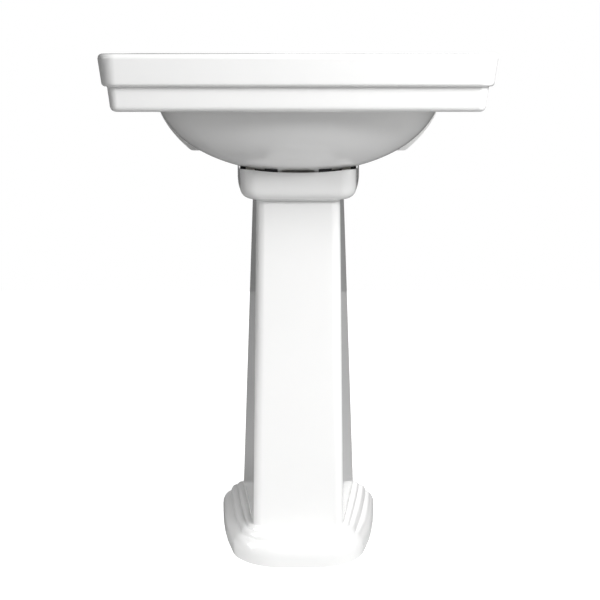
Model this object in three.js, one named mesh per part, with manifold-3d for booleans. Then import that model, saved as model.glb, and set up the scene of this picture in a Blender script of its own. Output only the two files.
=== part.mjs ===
// A pedestal sink: a wall-hung vitreous china basin that also rests on a hollow china pedestal, with its
// wall bolts, a push-button waste and the trap that the pedestal hides. Millimetres, +X to the right,
// +Y towards the wall, +Z up. The origin is on the floor, midway across the overall width and depth.
import * as THREE from "three";
import { mergeVertices } from "three/addons/utils/BufferGeometryUtils.js";
import Module from "manifold-3d";

const wasm = await Module();
wasm.setup();

// ---- Driving sizes ----
const gap = 0.3; // left between two pieces that touch
const roundSides = 24; // flats round a turned piece

// Basin
const basinWidth = 618;
const basinDepth = 495;
const rimHeight = 889; // floor to the top of the rim
const wallEmbed = 45; // how far the bolts and the trap arm run into the wall
const deckThickness = 14;
const frontCorner = 30; // plan radius at the front
const rearCorner = 3;
const rimRound = 6; // top edge
const upperBand = { height: 50, draft: 4.5, round: 5 };
const lowerBand = { height: 39, inset: 13.5, draft: 3, round: 9, fillet: 2 };
const apronWall = 13; // thickness of the bands
const backWall = 14; // thickness of the panel against the wall

// Bowl
const sideDeck = 70; // rim to bowl opening, each side
const frontDeck = 58;
const backDeck = 98;
const bowlDepth = 176;
const bowlWall = { side: 15, end: 17, floor: 25.5 }; // sideways, front to back, and under the drain
const bowlSquareness = 2.6; // of the bowl in plan, 2 for an ellipse
const innerFullness = 3.4; // of the bowl in section, 2 for an ellipse
const outerFullness = 3;
const bowlDrift = 12; // how far back the deepest point lies behind the middle of the opening
const lipRound = 8; // edge of the opening
const bowlRingCount = 11;
const bowlSides = 36;

// Tap holes on 8 inch centres
const tapHole = { radius: 17.5, spacing: 101.6, fromWall: 48 };

// Overflow
const overflow = { depth: 42, holeRadius: 11, ductWidth: 34, ductThickness: 7, spotFace: 15.5, inset: 0.9 };
const overflowTrim = { radius: 14.5, lip: 1.8, wall: 1.7, length: 7 };

// Wall lugs, their webs and their bolts
const lug = { depth: 183, rootInset: 39, waistInset: 51, footInset: 104, footWidth: 92, corner: 10 };
const web = { thickness: 12, fromBolt: 36, root: 20 };
const bolt = { radius: 4, fromLugEdge: 34, fromLugFoot: 37, reach: 26, point: 9, chamfer: 1 };
const boltClearance = 3; // all round the bolt in the lug's hole, for the sleeve
const sleeveFlange = { width: 6.5, thickness: 2.2 };
const boltWasher = { width: 8, thickness: 1.8 };
const boltNut = { wall: 2.5, thickness: 6.5 }; // wall from the bolt to the flats

// Pedestal. A plan outline has the half-widths of its front and back, how far those lie from the drain
// axis, the radius of its front corners, and how much its sides bow out.
const columnTop = { frontHalf: 71, backHalf: 83.5, front: 50, back: 135, corner: 17, bow: 0 };
const columnFoot = { frontHalf: 79, backHalf: 107.5, front: 57, back: 185.5, corner: 17, bow: 0 };
const capitalPlan = { frontHalf: 97, backHalf: 111.5, front: 70, back: 135, corner: 28, bow: 1 };
const plinthPlan = { frontHalf: 102.5, backHalf: 148.5, front: 99, back: 185.5, corner: 88, bow: 8 };
const chinaWall = 12; // thickness of the pedestal
const backReturn = 18; // inward lip on each side of the open back
const plinthHeight = 61;
const capital = { height: 57, under: 23, lift: 2, edge: 4 };
const seatGap = 4.5; // between the bowl and the pedestal, taken up by pads
const seatCatch = 8; // how far the capital reaches up past the bowl at the side pads
const floorLug = { width: 34, length: 40, height: 14, holeRadius: 5 };
const pad = { length: 22, width: 9 };

// Waste and trap tube
const tube = { radius: 16, wall: 1.3 }; // the tailpiece and the trap arm
const wasteBody = { tubeClearance: 0.5, wall: 2.5, length: 84, mouth: 4 };
const drain = { clearance: 3.5, seatWidth: 10.5, seatDepth: 2, bossWidth: 14.5, bossDrop: 1.5 };
const flange = { width: 8.5, thickness: 2.5, edge: 1, slope: 2 };
const overflowWindow = { width: 20, height: 12 };
const flangeGasket = { width: 6.5, thickness: 1.2 };
const basinGasket = { width: 7.5, thickness: 9, nose: 3, taper: 4 };
const frictionWasher = { width: 6.5, thickness: 1.6 };
const lockNut = { wall: 6, thickness: 9 };

// Stopper
const stopperTravel = 8;
const stopperSeal = { seatWidth: 0.5, width: 6, thickness: 2 };
const stopperCap = { overhang: 5, thickness: 3, dome: 2, edge: 1.5 };
const stem = { radius: 3.5, foot: 3, neck: 4, shoulder: 1 };
const cartridge = { radius: 9, wall: 1.8, length: 36, below: 9, floor: 2, lip: 2, armWidth: 4, armHeight: 6 };
const spring = { clearance: 1.1, wire: 0.7, turns: 5, stepsPerTurn: 10 };

// Trap
const tailpiece = { length: 165, overlap: 12 };
const trap = { tubeClearance: 1.1, wall: 1.5, bend: 42, inlet: 76, outlet: 42, overlap: 30 };
const trapThread = { height: 14, depth: 2.4 };
const slipNut = { wall: 1.7, height: 21, lip: 4 };
const slipWasher = 3; // thickness
const trapArm = { bend: 34, rise: 20, overlap: 6 };
const cleanout = { plugRadius: 9, bossWall: 4, headWidth: 3, drop: 8, root: 8, seal: 2, head: 5 };
const escutcheon = { width: 22, depth: 11, thickness: 1.4, collar: 7, crown: 8 };

// ---- Sizes worked out from them ----
const frontY = -(basinDepth + wallEmbed) / 2;
const wallY = frontY + basinDepth;
const apronHeight = upperBand.height + lowerBand.height;
const openingHalfWidth = basinWidth / 2 - sideDeck;
const openingHalfDepth = (basinDepth - frontDeck - backDeck) / 2;
const bowlY = frontY + frontDeck + openingHalfDepth;
const drainY = bowlY + bowlDrift;
const innerBowl = {
  halfWidth: openingHalfWidth,
  halfDepth: openingHalfDepth,
  depth: bowlDepth,
  fullness: innerFullness,
};
const outerBowl = {
  halfWidth: openingHalfWidth + bowlWall.side,
  halfDepth: openingHalfDepth + bowlWall.end,
  depth: bowlDepth + bowlWall.floor,
  fullness: outerFullness,
};
const bowlBottom = rimHeight - outerBowl.depth; // underside of the bowl at its lowest
const seatZ = rimHeight - bowlDepth - drain.seatDepth; // where the waste flange sits
const underZ = bowlBottom - drain.bossDrop; // flat face under the drain
const wasteBore = tube.radius + wasteBody.tubeClearance;
const wasteRadius = wasteBore + wasteBody.wall;
const drainHole = wasteRadius + drain.clearance;
const trapRadius = tube.radius + trap.tubeClearance + trap.wall;
const threadRadius = trapRadius + trapThread.depth;
const boltHole = bolt.radius + boltClearance;

// ---- Materials ----
const material = (color, roughness, metalness = 0) =>
  new THREE.MeshStandardMaterial({ color, roughness, metalness });
const china = material("#f6f6f4", 0.08);
const chrome = material("#d9dcdf", 0.12, 1);
const brass = material("#c9a75a", 0.35, 1);
const steel = material("#a9adb0", 0.4, 1);
const rubber = material("#1d1d1e", 0.85);
const nylon = material("#e9e6dc", 0.5);

// ---- Helpers ----
const sides = [-1, 1];
const handOf = (side) => (side < 0 ? "left" : "right");
const radians = THREE.MathUtils.degToRad;
const { lerp } = THREE.MathUtils;
const inPlane = (y, z) => new THREE.Vector3(0, y, z); // the plane across the middle of the sink

function toSolid(geometry) {
  const bare = geometry.index ? geometry.toNonIndexed() : geometry.clone();
  bare.deleteAttribute("normal");
  bare.deleteAttribute("uv");
  const merged = mergeVertices(bare, 1e-3);
  return new wasm.Manifold(
    new wasm.Mesh({
      numProp: 3,
      vertProperties: merged.attributes.position.array,
      triVerts: new Uint32Array(merged.index.array),
    }),
  );
}

function toGeometry(solid) {
  const mesh = solid.getMesh();
  return new THREE.BufferGeometry()
    .setAttribute("position", new THREE.BufferAttribute(mesh.vertProperties, 3))
    .setIndex(new THREE.BufferAttribute(mesh.triVerts, 1));
}

// Skins a stack of level rings, each counter-clockwise from above and no lower than the last.
function loft(rings) {
  const count = rings[0].points.length;
  const positions = rings.flatMap(({ z, points }) => points.flatMap((p) => [p.x, p.y, z]));
  const index = [];
  for (let r = 0; r < rings.length - 1; r++) {
    for (let i = 0; i < count; i++) {
      const a = r * count + i;
      const b = r * count + ((i + 1) % count);
      index.push(a, b, b + count, a, b + count, a + count);
    }
  }
  const top = (rings.length - 1) * count;
  const lid = (ring) => THREE.ShapeUtils.triangulateShape(ring.points, []);
  for (const [a, b, c] of lid(rings[0])) index.push(a, c, b);
  for (const [a, b, c] of lid(rings.at(-1))) index.push(top + a, top + b, top + c);
  const geometry = new THREE.BufferGeometry();
  geometry.setAttribute("position", new THREE.Float32BufferAttribute(positions, 3));
  return geometry.setIndex(index);
}

// Corners as [x, y, radius], counter-clockwise, with each radius drawn as an arc.
function roundedPolygon(corners, steps) {
  return corners.flatMap(([x, y, radius], i) => {
    const corner = new THREE.Vector2(x, y);
    if (!radius) return [corner];
    const [beforeX, beforeY] = corners.at(i - 1);
    const [afterX, afterY] = corners[(i + 1) % corners.length];
    const before = new THREE.Vector2(beforeX - x, beforeY - y).normalize();
    const after = new THREE.Vector2(afterX - x, afterY - y).normalize();
    const half = Math.acos(before.dot(after)) / 2;
    const inward = before.clone().add(after).normalize();
    const centre = inward.multiplyScalar(radius / Math.sin(half)).add(corner);
    const start = before.multiplyScalar(radius / Math.tan(half)).add(corner).sub(centre).angle();
    return Array.from({ length: steps + 1 }, (_, k) => {
      const angle = start + ((Math.PI - 2 * half) * k) / steps;
      return new THREE.Vector2(radius * Math.cos(angle), radius * Math.sin(angle)).add(centre);
    });
  });
}

function superellipse(halfX, halfY, centreY) {
  const bent = (value) => Math.sign(value) * Math.abs(value) ** (2 / bowlSquareness);
  return Array.from({ length: bowlSides }, (_, k) => {
    const angle = (2 * Math.PI * k) / bowlSides;
    return new THREE.Vector2(halfX * bent(Math.cos(angle)), centreY + halfY * bent(Math.sin(angle)));
  });
}

// A piece turned about Z from [radius, z] points, counter-clockwise with the axis on the left.
function turned(profile) {
  const points = [...profile, profile[0]].map(([radius, z]) => new THREE.Vector2(radius, z));
  return new THREE.LatheGeometry(points, roundSides).rotateX(Math.PI / 2);
}

function ring(outer, inner, bottom, thickness) {
  const top = bottom + thickness;
  return turned([
    [inner, bottom],
    [outer, bottom],
    [outer, top],
    [inner, top],
  ]);
}

// An upright round bar, from its foot up.
const bar = (radius, height, x = 0, y = 0, foot = 0) =>
  new THREE.CylinderGeometry(radius, radius, height, roundSides)
    .rotateX(Math.PI / 2)
    .translate(x, y, foot + height / 2);

// A round bar along +Y, from its near end.
const crossBar = (radius, length, x, near, z) =>
  bar(radius, length).rotateX(-Math.PI / 2).translate(x, near, z);

function hexagon(acrossFlats, bore, thickness) {
  const corner = acrossFlats / 2 / Math.cos(radians(30));
  const outline = [0, 60, 120, 180, 240, 300].map(
    (turn) => new THREE.Vector2(corner * Math.cos(radians(turn)), corner * Math.sin(radians(turn))),
  );
  const shape = new THREE.Shape(outline);
  shape.holes.push(new THREE.Path().absarc(0, 0, bore, 0, 2 * Math.PI));
  return new THREE.ExtrudeGeometry(shape, {
    depth: thickness,
    bevelEnabled: false,
    curveSegments: roundSides / 2,
  });
}

// A route through given points, with one step between each two of them.
class Route extends THREE.Curve {
  constructor(points) {
    super();
    this.points = points;
  }
  getPoint(t, target = new THREE.Vector3()) {
    const place = t * (this.points.length - 1);
    const from = Math.min(Math.floor(place), this.points.length - 2);
    return target.lerpVectors(this.points[from], this.points[from + 1], place - from);
  }
  getUtoTmapping(u) {
    return u;
  }
}

// Points round a bend in the middle plane, angles in degrees from +Y towards +Z.
function bendPoints(centreY, centreZ, radius, from, to, steps) {
  return Array.from({ length: steps + 1 }, (_, k) => {
    const angle = radians(lerp(from, to, k / steps));
    return inPlane(centreY + radius * Math.cos(angle), centreZ + radius * Math.sin(angle));
  });
}

function pipe(points, radius, wall) {
  const section = new THREE.Shape().absarc(0, 0, radius, 0, 2 * Math.PI);
  if (wall) section.holes.push(new THREE.Path().absarc(0, 0, radius - wall, 0, 2 * Math.PI));
  return new THREE.ExtrudeGeometry(section, {
    steps: points.length - 1,
    bevelEnabled: false,
    extrudePath: new Route(points),
    curveSegments: 9,
  });
}

function named(name, geometry, finish, position = [0, 0, 0]) {
  const mesh = new THREE.Mesh(geometry, finish);
  mesh.name = name;
  mesh.position.set(...position);
  return mesh;
}

function groupAt(position, ...children) {
  const group = new THREE.Group();
  group.position.set(...position);
  return group.add(...children);
}

// ---- Bowl ----
// A point of the bowl's section: at a turn of 0 it is at the rim and full width, at 90 degrees at the bottom.
function bowlSection({ depth, fullness }, turn) {
  const fall = Math.sin(turn) ** (2 / fullness);
  return { z: rimHeight - depth * fall, width: Math.cos(turn), centre: bowlY + bowlDrift * fall ** 2 };
}

function bowlRings(bowl, top) {
  const rings = Array.from({ length: bowlRingCount + 1 }, (_, k) => {
    const { z, width, centre } = bowlSection(bowl, radians(86) * (1 - k / bowlRingCount));
    return { z, points: superellipse(bowl.halfWidth * width, bowl.halfDepth * width, centre) };
  });
  rings.at(-1).z = top;
  return rings;
}

// The outside of the bowl as a solid, swollen all round.
function bowlOutside(swell = 0) {
  const bowl = {
    ...outerBowl,
    halfWidth: outerBowl.halfWidth + swell,
    halfDepth: outerBowl.halfDepth + swell,
    depth: outerBowl.depth + swell,
  };
  return toSolid(loft(bowlRings(bowl, rimHeight - deckThickness / 2)));
}

// The inside of the bowl, opening out through a rounded lip.
function bowlInside() {
  const rings = bowlRings(innerBowl, rimHeight - lipRound);
  for (const turn of [30, 60, 90]) {
    const out = lipRound * (1 - Math.cos(radians(turn)));
    rings.push({
      z: rimHeight - lipRound * (1 - Math.sin(radians(turn))),
      points: superellipse(innerBowl.halfWidth + out, innerBowl.halfDepth + out, bowlY),
    });
  }
  rings.push({ z: rimHeight + lipRound, points: rings.at(-1).points });
  return toSolid(loft(rings));
}

// ---- Basin ----
// Section through the bands: x is the inset from the basin's outside, y the depth below the rim.
function apronProfile() {
  const ledge = upperBand.height;
  const { inset, draft, round, fillet } = lowerBand;
  return new THREE.Path()
    .moveTo(rimRound, 0)
    .quadraticCurveTo(0, 0, 0, rimRound)
    .lineTo(upperBand.draft, ledge - upperBand.round)
    .quadraticCurveTo(upperBand.draft, ledge, upperBand.draft + upperBand.round, ledge)
    .quadraticCurveTo(inset, ledge, inset, ledge + fillet)
    .lineTo(inset + draft, apronHeight - round)
    .quadraticCurveTo(inset + draft, apronHeight, inset + draft + round, apronHeight)
    .getPoints(3);
}

function apronOutline(inset, back = wallY) {
  const half = basinWidth / 2 - inset;
  const front = Math.max(frontCorner - inset, rearCorner);
  return roundedPolygon(
    [
      [-half, frontY + inset, front],
      [half, frontY + inset, front],
      [half, back, rearCorner],
      [-half, back, rearCorner],
    ],
    5,
  );
}

function apronBlock() {
  const rings = apronProfile().map(({ x, y }) => ({ z: rimHeight - y, points: apronOutline(x) }));
  return toSolid(loft(rings.reverse()));
}

// The space under the deck, between the bands and the panel against the wall.
function underside() {
  const level = (inset, depth) => ({
    z: rimHeight - depth,
    points: apronOutline(inset + apronWall, wallY - backWall),
  });
  return toSolid(
    loft([
      level(lowerBand.inset + lowerBand.draft, apronHeight + gap),
      level(lowerBand.inset, upperBand.height + apronWall / 2),
      level(upperBand.draft, upperBand.height - apronWall / 2),
      level(0, deckThickness),
    ]),
  );
}

const lugFoot = basinWidth / 2 - lug.footInset; // outer end of the lug's bottom edge
const boltX = lugFoot - bolt.fromLugEdge;
const boltZ = rimHeight - lug.depth + bolt.fromLugFoot;

// A lug that carries the back panel down beside the bowl. Its outer edge curves in like the bowl's.
function wallLug(side) {
  const root = basinWidth / 2 - lug.rootInset;
  const waist = basinWidth / 2 - lug.waistInset;
  const inner = lugFoot - lug.footWidth;
  const { corner, depth } = lug;
  const waistDepth = (apronHeight + depth) / 2;
  const outline = new THREE.Shape()
    .moveTo(side * inner, -upperBand.height)
    .lineTo(side * root, -upperBand.height)
    .lineTo(side * root, -apronHeight)
    .quadraticCurveTo(side * waist, -waistDepth, side * lugFoot, -depth + corner / 2)
    .quadraticCurveTo(side * (lugFoot - corner / 2), -depth, side * (lugFoot - corner), -depth)
    .lineTo(side * (inner + corner), -depth)
    .quadraticCurveTo(side * inner, -depth, side * inner, -depth + corner);
  const plate = new THREE.ExtrudeGeometry(outline, {
    depth: backWall,
    bevelEnabled: false,
    curveSegments: 5,
  });
  return toSolid(plate.rotateX(Math.PI / 2).translate(0, wallY, rimHeight));
}

// An upright web that ties the lug to the back of the bowl.
function lugWeb(side) {
  const root = bowlY + openingHalfDepth - web.root;
  const panelFace = wallY - backWall;
  const outline = new THREE.Shape([
    new THREE.Vector2(root, -deckThickness / 2),
    new THREE.Vector2(panelFace + backWall / 2, -deckThickness / 2),
    new THREE.Vector2(panelFace + backWall / 2, -lug.depth + lug.corner),
    new THREE.Vector2(panelFace - web.thickness / 2, -lug.depth + lug.corner),
    new THREE.Vector2(root, -apronHeight),
  ]);
  const plate = new THREE.ExtrudeGeometry(outline, { depth: web.thickness, bevelEnabled: false });
  plate.rotateX(Math.PI / 2).rotateZ(Math.PI / 2);
  return toSolid(plate.translate(side * (boltX - web.fromBolt) - web.thickness / 2, 0, rimHeight));
}

// The water passage inside the back wall of the bowl, from the overflow hole down to the drain hole.
function overflowDuct() {
  const { ductWidth: width, ductThickness: thickness, depth, holeRadius } = overflow;
  const first = Math.asin(((depth - holeRadius) / bowlDepth) ** (innerFullness / 2));
  const last = Math.acos((drainHole - thickness / 2) / openingHalfDepth);
  const on = (bowl, turn) => {
    const { z, width: share, centre } = bowlSection(bowl, turn);
    return inPlane(centre + bowl.halfDepth * share, z);
  };
  const points = Array.from({ length: bowlRingCount }, (_, k) => {
    const turn = lerp(first, last, k / (bowlRingCount - 1));
    return on(innerBowl, turn).lerp(on(outerBowl, turn), 0.5);
  });
  const section = new THREE.Shape()
    .moveTo(-width / 2, -thickness / 2)
    .lineTo(width / 2, -thickness / 2)
    .lineTo(width / 2, thickness / 2)
    .lineTo(-width / 2, thickness / 2);
  return toSolid(
    new THREE.ExtrudeGeometry(section, {
      steps: bowlRingCount - 1,
      bevelEnabled: false,
      extrudePath: new Route(points),
    }),
  );
}

const overflowY = bowlY + openingHalfDepth - overflow.inset; // the flat that the trim ring sits on
const overflowZ = rimHeight - overflow.depth;

function basinCuts() {
  const ductY = bowlWall.end / 2;
  const tapFoot = rimHeight - 1.5 * deckThickness;
  const tapCuts = [-1, 0, 1].map((place) =>
    bar(tapHole.radius, 2 * deckThickness, place * tapHole.spacing, wallY - tapHole.fromWall, tapFoot),
  );
  const boltCuts = sides.map((side) =>
    crossBar(boltHole, 2 * backWall, side * boltX, wallY - 1.5 * backWall, boltZ),
  );
  return [
    bar(drainHole, 2 * bowlWall.floor, 0, drainY, underZ - bowlWall.floor / 2),
    bar(drainHole + drain.seatWidth, bowlWall.floor, 0, drainY, seatZ),
    crossBar(overflow.spotFace, bowlWall.end, 0, overflowY - bowlWall.end, overflowZ),
    crossBar(overflow.holeRadius, ductY + gap, 0, overflowY - gap, overflowZ),
    ...tapCuts,
    ...boltCuts,
  ].map(toSolid);
}

function basin() {
  const boss = toSolid(bar(drainHole + drain.bossWidth, bowlWall.floor, 0, drainY, underZ));
  let body = apronBlock().subtract(underside()).add(bowlOutside()).add(boss);
  for (const side of sides) body = body.add(wallLug(side)).add(lugWeb(side));
  for (const cut of [bowlInside(), overflowDuct(), ...basinCuts()]) body = body.subtract(cut);
  return named("basin", toGeometry(body), china);
}

function overflowRing() {
  const { radius, lip, wall, length } = overflowTrim;
  const outer = overflow.holeRadius - gap;
  const trim = turned([
    [outer - wall, lip / 2],
    [outer - wall / 2, 0],
    [radius - lip / 2, 0],
    [radius, lip / 2],
    [radius, lip],
    [outer, lip],
    [outer, length],
    [outer - wall, length],
  ]);
  return named("overflow_ring", trim.rotateX(-Math.PI / 2), chrome, [0, overflowY - lip - gap, overflowZ]);
}

// ---- Pedestal ----
const mixed = (a, b, share) =>
  Object.fromEntries(Object.keys(a).map((key) => [key, lerp(a[key], b[key], share)]));

const shrunk = (plan, inset) => ({
  ...plan,
  frontHalf: plan.frontHalf - inset,
  backHalf: plan.backHalf - inset,
  front: plan.front - inset,
  corner: Math.max(plan.corner - inset, 2),
});

const seatEdge = shrunk(capitalPlan, chinaWall / 2); // the middle of the capital's wall
const seatSlope = (seatEdge.backHalf - seatEdge.frontHalf) / (seatEdge.back + seatEdge.front);
const sideSeat = seatEdge.frontHalf + seatSlope * seatEdge.front; // beside the drain axis
const sideFall = (1 - (sideSeat / outerBowl.halfWidth) ** 2) ** (1 / outerFullness);
const capitalTop = rimHeight - outerBowl.depth * sideFall - seatGap + seatCatch;
const capitalFoot = capitalTop - capital.height;

function planOutline({ frontHalf, backHalf, front, back, corner, bow }) {
  const sidePoints = [0.45, 0.72].map((share) => [
    lerp(frontHalf, backHalf, share) + 4 * bow * share * (1 - share),
    drainY + lerp(-front, back, share),
    0,
  ]);
  return roundedPolygon(
    [
      [-frontHalf, drainY - front, corner],
      [frontHalf, drainY - front, corner],
      ...sidePoints,
      [backHalf, drainY + back, 0],
      [-backHalf, drainY + back, 0],
      ...sidePoints.map(([x, y]) => [-x, y, 0]).reverse(),
    ],
    7,
  );
}

// How the outside stands out of the column on its way up: x runs from 0 at the column to 1 at the full
// width of the plinth or the capital, y is the height.
function plinthProfile() {
  const tread = 0.7 * plinthHeight;
  const upperTread = 0.9 * plinthHeight;
  return new THREE.Path()
    .moveTo(1, 0)
    .lineTo(1, 0.26 * plinthHeight)
    .quadraticCurveTo(0.98, 0.6 * plinthHeight, 0.6, tread)
    .quadraticCurveTo(0.55, upperTread, 0.29, upperTread)
    .quadraticCurveTo(0.25, plinthHeight, 0.02, plinthHeight)
    .getPoints(4);
}

function capitalProfile() {
  const { under, lift, edge } = capital;
  return new THREE.Path()
    .moveTo(0.06, capitalFoot)
    .quadraticCurveTo(1, capitalFoot + lift, 1, capitalFoot + under)
    .lineTo(1, capitalTop - edge)
    .quadraticCurveTo(1, capitalTop, 0.84, capitalTop)
    .getPoints(5);
}

function pedestalOutside() {
  const flare = (profile, column, full) =>
    profile.map(({ x, y }) => ({ z: y, points: planOutline(mixed(column, full, x)) }));
  return toSolid(
    loft([
      ...flare(plinthProfile(), columnFoot, plinthPlan),
      { z: plinthHeight + lowerBand.fillet, points: planOutline(columnFoot) },
      { z: capitalFoot - lowerBand.fillet, points: planOutline(columnTop) },
      ...flare(capitalProfile(), columnTop, capitalPlan),
    ]),
  );
}

// The hollow stops short of the back, and a narrower slot opens it there, which leaves a lip on each side.
function pedestalHollow() {
  const stations = [
    [-gap, plinthPlan],
    [plinthHeight / 3, plinthPlan],
    [plinthHeight - chinaWall / 2, columnFoot],
    [capitalFoot + chinaWall / 2, columnTop],
    [capitalFoot + capital.under, capitalPlan],
    [capitalTop + gap, capitalPlan],
  ];
  const carve = (inset, stretch) =>
    toSolid(
      loft(
        stations.map(([z, plan]) => {
          const inner = shrunk(plan, inset);
          return { z, points: planOutline({ ...inner, back: inner.back + stretch }) };
        }),
      ),
    );
  return carve(chinaWall, -chinaWall).add(carve(chinaWall + backReturn, chinaWall));
}

const floorLugY = drainY + plinthPlan.back - chinaWall - floorLug.length / 2;
const floorLugX = plinthPlan.backHalf - chinaWall - floorLug.width / 2 - plinthPlan.bow;

function pedestal() {
  const outside = pedestalOutside();
  const { width, length, height, holeRadius } = floorLug;
  let body = outside.subtract(pedestalHollow());
  for (const side of sides) {
    const block = new THREE.BoxGeometry(width + 2 * chinaWall, length + chinaWall, height);
    block.translate(side * (floorLugX + chinaWall), floorLugY + chinaWall / 2, height / 2);
    body = body.add(toSolid(block).intersect(outside));
    body = body.subtract(toSolid(bar(holeRadius, 3 * height, side * floorLugX, floorLugY, -height)));
  }
  return named("pedestal", toGeometry(body.subtract(bowlOutside(seatGap))), china);
}

// A pad squeezed between the bowl and the top of the capital, turned to follow the capital's edge.
function seatPad(name, x, y, turn) {
  const block = new THREE.BoxGeometry(pad.length, pad.width, capital.height);
  block.rotateZ(turn).translate(x, y, bowlBottom);
  const slice = toSolid(block).intersect(bowlOutside(seatGap - gap)).subtract(bowlOutside(gap));
  return named(name, toGeometry(slice), rubber);
}

function seatPads() {
  const sideTurn = Math.PI / 2 - Math.atan(seatSlope);
  return sides.flatMap((side) => [
    seatPad("seat_pad_front_" + handOf(side), (side * seatEdge.frontHalf) / 2, drainY - seatEdge.front, 0),
    seatPad("seat_pad_side_" + handOf(side), side * sideSeat, drainY, side * sideTurn),
  ]);
}

// ---- Wall bolts ----
// A bolt and what is threaded onto it, drawn upwards from the face of the lug and then laid along -Y.
function wallBolt(side) {
  const { radius, reach, point, chamfer } = bolt;
  const bore = radius + gap;
  const tip = -backWall - wallEmbed;
  const rod = turned([
    [0, tip],
    [radius, tip + point],
    [radius, reach - chamfer],
    [radius - chamfer, reach],
    [0, reach],
  ]);
  const sleeveTop = gap + sleeveFlange.thickness;
  const sleeve = turned([
    [bore, -backWall],
    [boltHole - gap, -backWall],
    [boltHole - gap, gap],
    [boltHole + sleeveFlange.width, gap],
    [boltHole + sleeveFlange.width, sleeveTop],
    [bore, sleeveTop],
  ]);
  const washer = ring(radius + boltWasher.width, bore, sleeveTop + gap, boltWasher.thickness);
  const nutFoot = sleeveTop + boltWasher.thickness + 2 * gap;
  const nut = hexagon(2 * (radius + boltNut.wall), bore, boltNut.thickness).translate(0, 0, nutFoot);
  const piece = (name, geometry, finish) =>
    named(name + "_" + handOf(side), geometry.rotateX(Math.PI / 2), finish);
  return groupAt(
    [side * boltX, wallY - backWall, boltZ],
    piece("wall_bolt", rod, steel),
    piece("bolt_sleeve", sleeve, nylon),
    piece("bolt_washer", washer, steel),
    piece("bolt_nut", nut, steel),
  );
}

// ---- Waste, about the drain axis, with heights from the seat of its flange ----
const flangeFoot = flangeGasket.thickness + 2 * gap;
const flangeTop = flangeFoot + flange.thickness;
const wasteBottom = flangeTop - wasteBody.length;
const underDrain = underZ - seatZ; // the flat face under the basin

function wasteBodyPiece() {
  const rim = drainHole + flange.width;
  const { mouth } = wasteBody;
  const body = turned([
    [wasteBore, wasteBottom],
    [wasteRadius, wasteBottom],
    [wasteRadius, flangeFoot],
    [rim - flange.edge, flangeFoot],
    [rim, flangeFoot + flange.edge],
    [rim - flange.slope, flangeTop],
    [wasteBore + mouth, flangeTop],
    [wasteBore, flangeTop - mouth],
  ]);
  const window = new THREE.BoxGeometry(overflowWindow.width, 4 * wasteRadius, overflowWindow.height);
  window.translate(0, 0, underDrain / 2);
  return named("waste_body", toGeometry(toSolid(body).subtract(toSolid(window))), chrome);
}

function wasteSeals() {
  const bore = wasteRadius + gap;
  const { width, thickness, nose, taper } = basinGasket;
  const radius = drainHole + width;
  const gasketTop = underDrain - gap;
  const gasketFoot = gasketTop - thickness;
  const gasket = turned([
    [bore, gasketFoot],
    [radius - taper, gasketFoot],
    [radius, gasketFoot + taper],
    [radius, gasketTop],
    [drainHole - gap, gasketTop],
    [drainHole - 2 * gap, gasketTop + nose],
    [bore, gasketTop + nose],
  ]);
  const washerFoot = gasketFoot - gap - frictionWasher.thickness;
  const washer = ring(drainHole + frictionWasher.width, bore, washerFoot, frictionWasher.thickness);
  const nut = hexagon(2 * (wasteRadius + lockNut.wall), bore, lockNut.thickness);
  const topSeal = ring(drainHole + flangeGasket.width, bore, gap, flangeGasket.thickness);
  return [
    named("flange_gasket", topSeal, rubber),
    named("basin_gasket", gasket, rubber),
    named("friction_washer", washer, nylon),
    named("lock_nut", nut, brass, [0, 0, washerFoot - gap - lockNut.thickness]),
  ];
}

// The stopper at its open height. A press takes it down by its travel, onto the flange.
const sealFoot = flangeTop + stopperTravel + gap;
const capFoot = sealFoot + stopperSeal.thickness + gap;
const cartridgeTop = flangeTop - cartridge.below;
const cartridgeFoot = cartridgeTop - cartridge.length;
const cartridgeBore = cartridge.radius - cartridge.wall;
const stemFoot = cartridgeTop - cartridge.lip - stem.foot - gap;

function stopperPieces() {
  const { overhang, thickness, dome, edge } = stopperCap;
  const sealRadius = wasteBore + wasteBody.mouth + stopperSeal.seatWidth;
  const sealBore = sealRadius - stopperSeal.width;
  const radius = sealRadius + overhang;
  const crown = thickness + dome;
  const cap = new THREE.Path()
    .moveTo(0, 0)
    .lineTo(radius - edge, 0)
    .quadraticCurveTo(radius, 0, radius, edge)
    .quadraticCurveTo(radius, thickness, radius - 2 * edge, thickness)
    .quadraticCurveTo(radius / 2, crown, 0, crown)
    .getPoints(3);
  const footRadius = cartridgeBore - gap;
  const stemTop = capFoot - gap;
  const neck = sealBore - gap;
  const rod = turned([
    [0, stemFoot],
    [footRadius, stemFoot],
    [footRadius, stemFoot + stem.foot],
    [stem.radius, stemFoot + stem.foot],
    [stem.radius, stemTop - stem.neck],
    [neck, stemTop - stem.neck + stem.shoulder],
    [neck, stemTop],
    [0, stemTop],
  ]);
  return [
    named("stopper_cap", turned(cap.map(({ x, y }) => [x, y])), chrome, [0, 0, capFoot]),
    named("stopper_seal", ring(sealRadius, sealBore, sealFoot, stopperSeal.thickness), rubber),
    named("stopper_stem", rod, brass),
  ];
}

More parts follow.
